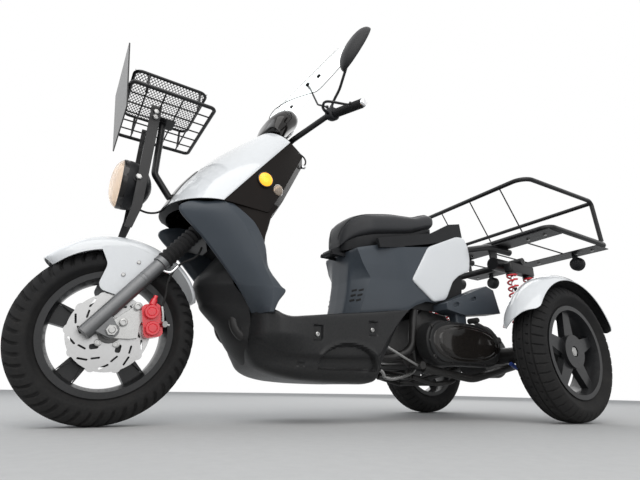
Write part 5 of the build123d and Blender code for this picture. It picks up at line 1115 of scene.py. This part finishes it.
deck = {"front": 68, "back": 165, "half": 137, "z": 1018, "corner": 24, "tube": 5, "cell": 5.06, "run": 10.2,
    "wide": 1.0, "thick": 0.6}
inset = deck["tube"]
cornerTurn = np.linspace(0, np.pi / 2, 9)
hoopPoints = []
for k, (cx, cy) in enumerate(((-deck["front"], 1), (deck["back"], 1), (deck["back"], -1),
        (-deck["front"], -1))):
    turn = np.pi - cornerTurn - k * np.pi / 2
    inwards = (inset + deck["corner"]) * (1 if cx < 0 else -1)
    side = (deck["half"] - inset - deck["corner"]) * cy
    hoopPoints.append(np.stack([cx + inwards + deck["corner"] * np.cos(turn),
        side + deck["corner"] * np.sin(turn)], -1))
hoopPoints = np.concatenate(hoopPoints)
hoopPath = row(hoopPoints[:, 0], hoopPoints[:, 1], deck["z"])
nextPoint, lastPoint = np.roll(hoopPath, -1, 0), np.roll(hoopPath, 1, 0)
heading = nextPoint - lastPoint
heading /= np.linalg.norm(heading, axis=1, keepdims=True)
sideDir = np.cross(heading, np.array([0, 0, 1.0]))
phi = circle(14)[None, :, None]
hoopGrid = hoopPath[:, None] + deck["tube"] / 1000 * (np.cos(phi) * sideDir[:, None] + np.sin(phi)
    * np.array([0, 0, 1.0]))
strandCount = int((deck["front"] + deck["back"] - 2 * inset) / deck["cell"])
bends = int((2 * deck["half"] - 2 * inset) / deck["run"])
strand = np.arange(strandCount)[:, None]
bend = np.arange(bends + 1)[None, :]
strandBack = -deck["front"] + inset + deck["cell"] * (strand + 0.5) + deck["cell"] / 2 * np.where((strand
    + bend) % 2 == 0, 1, -1)
strandLeft = -deck["half"] + inset + bend * (2 * deck["half"] - 2 * inset) / bends + 0 * strand
meshParts = []
for k in range(strandCount):
    corners = [(-deck["wide"], -deck["thick"]), (deck["wide"], -deck["thick"]), (deck["wide"], deck["thick"]),
        (-deck["wide"], deck["thick"])]
    ring = np.stack([row(strandBack[k] + a, strandLeft[k], deck["z"] + b) for a, b in corners], 1)
    meshParts.append(fromGrid(ring, closeCols=True, caps=True))
addPiece("meshDeckSheet", [fromGrid(hoopGrid, closeRows=True, closeCols=True)] + meshParts, "chassis",
    "blackTube", ["mesh_deck"], smooth=50)
print("stage: mesh deck woven,", strandCount, "strands")

# springs and dampers, two a side

shock = {"y": 235, "back": (-45, 73), "low": 306.3, "coilLow": 372, "coilTop": 588, "turns": 8.5,
    "coil": 19.5, "wire": 4.1}
coilParts, tubeParts, rodParts = [], [], []
turns = np.linspace(0, 2 * np.pi * shock["turns"], 260)
flatEnd = np.interp(np.linspace(0, 1, 260), [0, 0.07, 0.93, 1], [0, 0.02, 0.98, 1])
for side in (1, -1):
    for back in shock["back"]:
        x = (rearX - back) / 1000
        coil = np.stack([x + shock["coil"] / 1000 * np.cos(turns),
            side * shock["y"] / 1000 + shock["coil"] / 1000 * np.sin(turns),
            (shock["coilLow"] + (shock["coilTop"] - shock["coilLow"]) * flatEnd) / 1000], -1)
        outwards = np.stack([np.cos(turns), np.sin(turns), 0 * turns], -1)[:, None]
        phi = circle(9)[None, :, None]
        ring = coil[:, None] + shock["wire"] / 1000 * (np.cos(phi) * outwards + np.sin(phi) * np.array([0, 0,
            1.0]))
        coilParts.append(fromGrid(ring, closeCols=True, caps=True))
        base = (x, side * shock["y"] / 1000, shock["low"] / 1000)
        tubeParts.append(lathe([(0, 0), (0, 12), (12, 15), (52, 15), (54, 23.5), (62, 23.5), (64, 16),
            (150, 16), (153, 9), (153, 0)], base, (0, 0, 1), 32))
        tubeParts.append(lathe([(282, 0), (282, 23.5), (290, 23.5), (292, 19), (300, 19), (300, 0)], base,
            (0, 0, 1), 32))
        rodParts.append(lathe([(150, 0), (150, 6.2), (286, 6.2), (286, 0)], base, (0, 0, 1), 20))
    yoke = rounded([(-84, -20), (84, -20), (84, 20), (-84, 20)], 12, 6)
    tubeParts.append(prism(yoke, lambda a, b, c, s=side: np.stack([(rearX - 14 - a) / 1000,
        (s * shock["y"] + b) / 1000, (598 + c) / 1000 + 0 * a], -1), 41.5, 3))
addPiece("springCoils", coilParts, "chassis", "redPaint", ["shock_absorbers"], smooth=80)
addPiece("damperBodies", tubeParts, "chassis", "blackTube", smooth=40)
addPiece("damperRods", rodParts, "chassis", "chrome", smooth=50)
print("stage: springs wound")

# exhaust: a can turned about its sloping axis, a pipe and a guard

canFoot = row(1190, -212, 280)
canAxis = np.array([-1, 0, 0.12]) / math.hypot(1, 0.12)
canProfile = [(0, 0), (0, 18), (6, 32), (22, 46), (34, 48), (36, 46.5), (40, 46.5), (42, 48), (226, 48),
    (228, 46.5), (232, 46.5), (234, 48), (250, 46), (259, 36), (262, 20), (262, 11), (240, 11), (240, 0)]
addPiece("exhaustCan", [lathe(canProfile, canFoot, canAxis, 64)], "chassis", "blackTube", ["exhaust"],
    smooth=40)
pipe = rod([(1110, -95.5, 230), (1110, -140, 230), (1114, -178, 232), (1140, -202, 244), (1180, -212, 264),
    (1205, -212, 282)], 13.8, 50, 20)
addPiece("exhaustPipe", [pipe], "chassis", "steel", smooth=60)
guard = {"start": 46, "end": 218, "radius": 50.6, "open": 62}
g, h = np.linspace(guard["start"], guard["end"], 24)[:, None], np.radians(np.linspace(-guard["open"],
    guard["open"], 25))[None, :]
sideways, upright = np.array([0, -1.0, 0]), np.array([0.12, 0, 1.0]) / math.hypot(1, 0.12)


def guardLayer(radius):  # part of a cylinder about the can, on its outer side
    spread = np.cos(h)[..., None] * sideways + np.sin(h)[..., None] * upright
    return canFoot + (g / 1000)[..., None] * canAxis + radius / 1000 * spread


addPiece("exhaustGuard", [closedShell(guardLayer(guard["radius"]), guardLayer(guard["radius"] - 2.2))],
    "chassis", "blackPlastic", smooth=50, bevel=0.6)

# brake details: rivets, bolts, pistons, banjo and hose

brake = {"face": 62.4, "rivetRing": 37, "rivets": 5, "rivetTurn": 92, "pistons": [(92, 294.5), (100, 250.5)],
    "hose": 3.4}
rivetTurn = np.radians(brake["rivetTurn"] + 360 / brake["rivets"] * np.arange(brake["rivets"]))
rivetSpots = row(-brake["rivetRing"] * np.cos(rivetTurn), brake["face"],
    frontZ + brake["rivetRing"] * np.sin(rivetTurn))
rivetProfile = [(0, 0), (0, 9.5), (2, 9.5), (2.6, 7.5), (2.6, 5), (1.2, 4.5), (1.2, 0)]
addPiece("discRivets", [lathe(rivetProfile, spot, (0, 1, 0), 24) for spot in rivetSpots], "front_wheel",
    "steel", smooth=30)
hubRing = [(0, 12), (0, 30), (4, 30), (5, 27), (5, 16), (3, 12)]
addPiece("discHubRing", [lathe(hubRing, row(0, brake["face"], frontZ), (0, 1, 0), 48, closed=True)],
    "front_wheel", "castAlloy", smooth=30)
bracketSpots = [row(28, 76.0, 262), row(58, 76.0, 308)]
axleCap = [(0, 0), (0, 18.5), (3, 18.5), (4, 16.5), (4, 12.5), (9, 12.5), (10, 11), (10, 0)]
bracketParts = [lathe([(0, 0), (0, 13.5), (1.5, 13.5), (1.5, 10.8), (7.5, 10.8), (8.5, 9), (8.5, 6), (4, 5.5),
    (4, 0)], spot, (0, 1, 0), 28) for spot in bracketSpots]
bracketParts.append(lathe(axleCap, row(-13, 76.0, 242), (0, 1, 0), 32))
addPiece("bracketBoltHeads", bracketParts, "steering", "steel", smooth=30)
pistonCap = [(0, 0), (0, 19.2), (1.2, 19.2), (3, 17.8), (3, 12.5), (2, 11.5), (3.5, 10), (4.2, 0)]
pistonParts = [lathe(pistonCap, row(b, 103.9, z), (0, 1, 0), 40) for b, z in brake["pistons"]]
pistonParts.append(lathe([(0, 0), (0, 9.5), (14, 9.5), (20, 6), (28, 5.5), (28, 0)], row(92, 93, 314),
    (-0.25, 0, 1), 20))
addPiece("pistonCaps", pistonParts, "steering", "redPaint", smooth=40)
banjoParts = [rod([(118, 95, 312), (121, 96, 300), (124, 96, 284), (126, 95, 268)], 4.8, 16, 14)]
banjoParts.append(lathe([(-10, 0), (-10, 8.5), (10, 8.5), (10, 0)], row(127, 95, 264), (-0.4, 0.9, 0), 20))
banjoParts.append(lathe([(-4, 0), (-4, 6), (8, 6), (10, 4), (18, 3.5), (18, 0)], row(127, 95, 264),
    (-1, 0.2, -0.1), 14))
addPiece("banjoFitting", banjoParts, "steering", "steel", smooth=40)
hose = rod([(118, 94, 308), (122, 94, 330), (124, 94, 352), (124, 95, 380), (130, 95, 404), (142, 96, 428),
    (162, 98, 448), (190, 100, 466), (204, 96, 486), (212, 84, 506)], brake["hose"], 70, 14)
addPiece("brakeHose", [hose], "steering", "rubber", smooth=70)
clip = rod([(96, 94, 424), (112, 95, 414), (126, 97, 412), (136, 97, 420), (146, 96, 434)], 4.2, 24, 12)
addPiece("hoseClip", [clip], "steering", "chrome", smooth=60)
collars = []
for side in (1, -1):
    for along, radius, length in ((214, 24.4, 15), (158, 20.8, 5), (148, 20.6, 3)):
        foot = fork(42, side * 92, along)
        collars.append(lathe([(0, radius - 1), (1, radius), (length - 1, radius), (length, radius - 1),
            (length, radius - 4), (0, radius - 4)], foot, (-sinRake, 0, cosRake), 40, closed=True))
addPiece("forkCollars", collars, "steering", "forkGrey", smooth=40)
print("stage: brake dressed")

# running gear under the tail: the belt case with its bolts and smooth cover, kick lever, stand links, small
# strut

boltSpots = [(1060, 330), (1046, 276), (1062, 222), (1150, 208), (1240, 207), (1330, 208), (1150, 345),
    (1240, 346), (1330, 345), (1410, 322), (1428, 276), (1408, 228)]
coverProfile = [(0, 0), (0, 7.8), (4, 7.8), (6.5, 6), (6.5, 4), (3, 3.5), (3, 0)]
coverBolts = [lathe(coverProfile, row(b, 197.8, z), (0, 1, 0), 14) for b, z in boltSpots]
addPiece("coverBoltHeads", coverBolts, "chassis", "blackTube", smooth=30)
phi = circle(72)[None, :]
share = np.array([1.0, 1.0, 0.985, 0.955, 0.90, 0.86, 0.845, 0.82, 0.76, 0.66, 0.52, 0.34, 0.16,
    0.02])[:, None]
lift = np.array([0.0, 5.0, 8.0, 9.6, 10.4, 10.8, 14.0, 16.8, 18.4, 19.6, 20.4, 20.9, 21.2, 21.3])[:, None]
lobe = 1 - 0.18 * (1 - np.cos(phi)) / 2
oval = row(1240 - 186 * share * power(np.cos(phi), 0.82), 199 + lift + 0 * phi,
    277 + 76 * share * lobe * power(np.sin(phi), 0.9))
case = {"radius": 80.5, "reach": 125, "centre": np.array([1237.5, 276.5])}
caseEnd = np.radians(np.linspace(-90, 90, 25))
halfSlot = np.stack([case["reach"] + case["radius"] * np.cos(caseEnd), case["radius"] * np.sin(caseEnd)], -1)
slot = case["centre"] + np.concatenate([halfSlot, -halfSlot])
slim = (slot - case["centre"]) * [0.955, 0.89] + case["centre"]
caseParts = [prism(slot, lambda p, q, c: row(p, 134 + c, q), 64, 5),
    prism(slim, lambda p, q, c: row(p, 192 + c, q), 14, 3), prism(rounded([(1090, 230), (1090, 330),
    (1290, 330), (1290, 230)], 6, 4), lambda p, q, c: row(p, 95.4 + c, q), 42, 2)]
addPiece("beltCase", caseParts, "chassis", "blackPlastic", ["transmission_case"], smooth=38)
addPiece("beltCoverDome", [fromGrid(oval, closeCols=True, caps=True)], "chassis", "glossBlack",
    ["transmission_case"], smooth=38)
kick = [rod([(1392, 224, 300), (1370, 226, 318), (1320, 228, 340), (1262, 230, 356), (1236, 232, 360)],
    np.interp(np.linspace(0, 1, 30), [0, 0.2, 1], [9, 7, 6]), 30, 14),
    lathe([(-16, 0), (-16, 13), (12, 13), (14, 10), (14, 0)], row(1392, 222, 298), (0, 1, 0), 24)]
addPiece("kickLever", kick, "chassis", "castAlloy", smooth=50)
pedal = lathe([(0, 0), (0, 9.5), (4, 10.5), (40, 10.5), (44, 8.5), (44, 0)], row(1236, 222, 360), (0, 1, 0),
    20)
addPiece("kickPedal", [pedal], "chassis", "rubber", smooth=50)

links = [rod([(1036, 118, 178), (1010, 128, 164), (960, 138, 150), (905, 146, 141), (868, 150, 144)], 6.5),
    rod([(868, 150, 144), (858, 152, 160), (846, 152, 168)], 6.0)]
links.append(rod([(1083, 150, 172), (1010, 150, 196), (940, 150, 224), (880, 148, 250)], 5.0))
addPiece("standLinks", links, "chassis", "steel", smooth=60)
strut = [rod([(1487, 205, 214), (1520, 205, 200), (1560, 205, 190), (1601, 205, 184)], 8.5)]
addPiece("smallStrut", strut, "chassis", "bluePaint", smooth=60)
print("stage: running gear dressed")

# cable loop at the nose, hooks with their ends behind the cowl, and bolts under the rack plates

loops = [rod([(12, 30, 622), (26, 36, 606), (50, 40, 600), (74, 40, 606), (92, 34, 622), (104, 26, 640)], 3.2,
    40), rod([(470, 98, 930), (478, 108, 920), (486, 112, 900), (494, 110, 876), (506, 104, 856)], 3.0, 40),
    rod([(470, 92, 932), (508, 104, 930), (538, 112, 918), (552, 112, 900), (546, 108, 880), (520, 98, 862)],
    3.0, 50)]
addPiece("cableLoops", loops[:1], "chassis", "rubber", smooth=60)
addPiece("baggageHook", loops[1:], "chassis", "blackTube", smooth=60)
knobs = [lathe([(-8, 0), (-8, 6), (0, 9), (8, 6), (8, 0)], row(545, 108, 876), (-1, 0, 0.4), 18)]
knobs.append(lathe([(-12, 0), (-12, 6.5), (12, 6.5), (12, 0)], row(510, 100, 856), (-0.3, 0, 1), 18))
addPiece("hookEnds", knobs, "chassis", "chrome", smooth=50)
rackBolts = [row(b, s * y, 770.2) for b in (1653, 2047) for s in (1, -1) for y in (60, 260, 340)]
addPiece("rackBoltHeads", boltHeads(rackBolts, (0, 0, -1), 8.5, 6), "chassis", "steel", smooth=30)
print("stage: small parts added")

# studio floor, area lights, world and camera; the world is white to the camera and softer as light

floorMesh = bpy.data.meshes.new("studioFloor")
floorMesh.from_pydata([(-9, -9, 0), (9, -9, 0), (9, 9, 0), (-9, 9, 0)], [], [(0, 1, 2, 3)])
floor = linked("studioFloor", floorMesh)
floorMat = bpy.data.materials.new("paleFloor")
floorMat.use_nodes = True
tree = floorMat.node_tree
bsdf = tree.nodes["Principled BSDF"]
coord = tree.nodes.new("ShaderNodeTexCoord")
speckle = noiseNode(tree, coord.outputs["Object"], 34.0, 5.0, 0.7)
tree.links.new(mixColour(tree, speckle, (0.50, 0.50, 0.50, 1), (0.60, 0.60, 0.595, 1)),
    bsdf.inputs["Base Color"])
bsdf.inputs["Roughness"].default_value = 0.85
floorMesh.materials.append(floorMat)

lights = {"key": {"at": (1.6, 2.6, 3.6), "size": 4.0, "power": 95, "tint": (1.0, 0.985, 0.96)},
    "fill": {"at": (3.4, -1.2, 2.4), "size": 4.0, "power": 45, "tint": (0.94, 0.97, 1.0)},
    "back": {"at": (-2.6, -2.6, 3.0), "size": 4.0, "power": 60, "tint": (1, 1, 1)},
    "low": {"at": (0.4, 3.4, 0.7), "size": 3.0, "power": 20, "tint": (1, 1, 1)}}
for name, spec in lights.items():
    data = bpy.data.lights.new(name, "AREA")
    data.shape, data.size, data.energy, data.color = "SQUARE", spec["size"], spec["power"], spec["tint"]
    obj = linked(name, data)
    obj.location = spec["at"]
    obj.rotation_euler = (Vector((-0.05, 0, 0.5)) - Vector(spec["at"])).to_track_quat("-Z", "Y").to_euler()

world = bpy.data.worlds.new("studioWorld")
bpy.context.scene.world = world
world.use_nodes = True
tree = world.node_tree
tree.nodes.clear()
out = tree.nodes.new("ShaderNodeOutputWorld")
mix, path = tree.nodes.new("ShaderNodeMixShader"), tree.nodes.new("ShaderNodeLightPath")
seen = path.outputs["Is Camera Ray"]
for label in ("Is Glossy Ray", "Is Transmission Ray"):
    seen = mathNode(tree, "MAXIMUM", seen, path.outputs[label])
tree.links.new(seen, mix.inputs[0])
for i, colour, strength in ((1, (0.92, 0.96, 1.0, 1), 0.45), (2, (1, 1, 1, 1), 1.0)):
    sky = tree.nodes.new("ShaderNodeBackground")
    sky.inputs["Color"].default_value, sky.inputs["Strength"].default_value = colour, strength
    tree.links.new(sky.outputs[0], mix.inputs[i])
tree.links.new(mix.outputs[0], out.inputs[0])

cameraData = bpy.data.cameras.new("photoCamera")
cameraData.lens, cameraData.sensor_width, cameraData.sensor_fit = 24.02, 36.0, "HORIZONTAL"
cameraData.clip_start, cameraData.clip_end = 0.02, 60
camera = linked("photoCamera", cameraData)
columns = np.array([(-0.85085484, 0.52512617, 0.0169866), (0.18732881, 0.27300317, 0.943598),
    (0.49087061, 0.80604701, -0.33065733)])
camera.matrix_world = Matrix.Translation((1.05875, 1.3401, 0.1010)) @ Matrix(columns.T.tolist()).to_4x4()
bpy.context.scene.camera = camera
bpy.context.scene.view_settings.view_transform = "Standard"
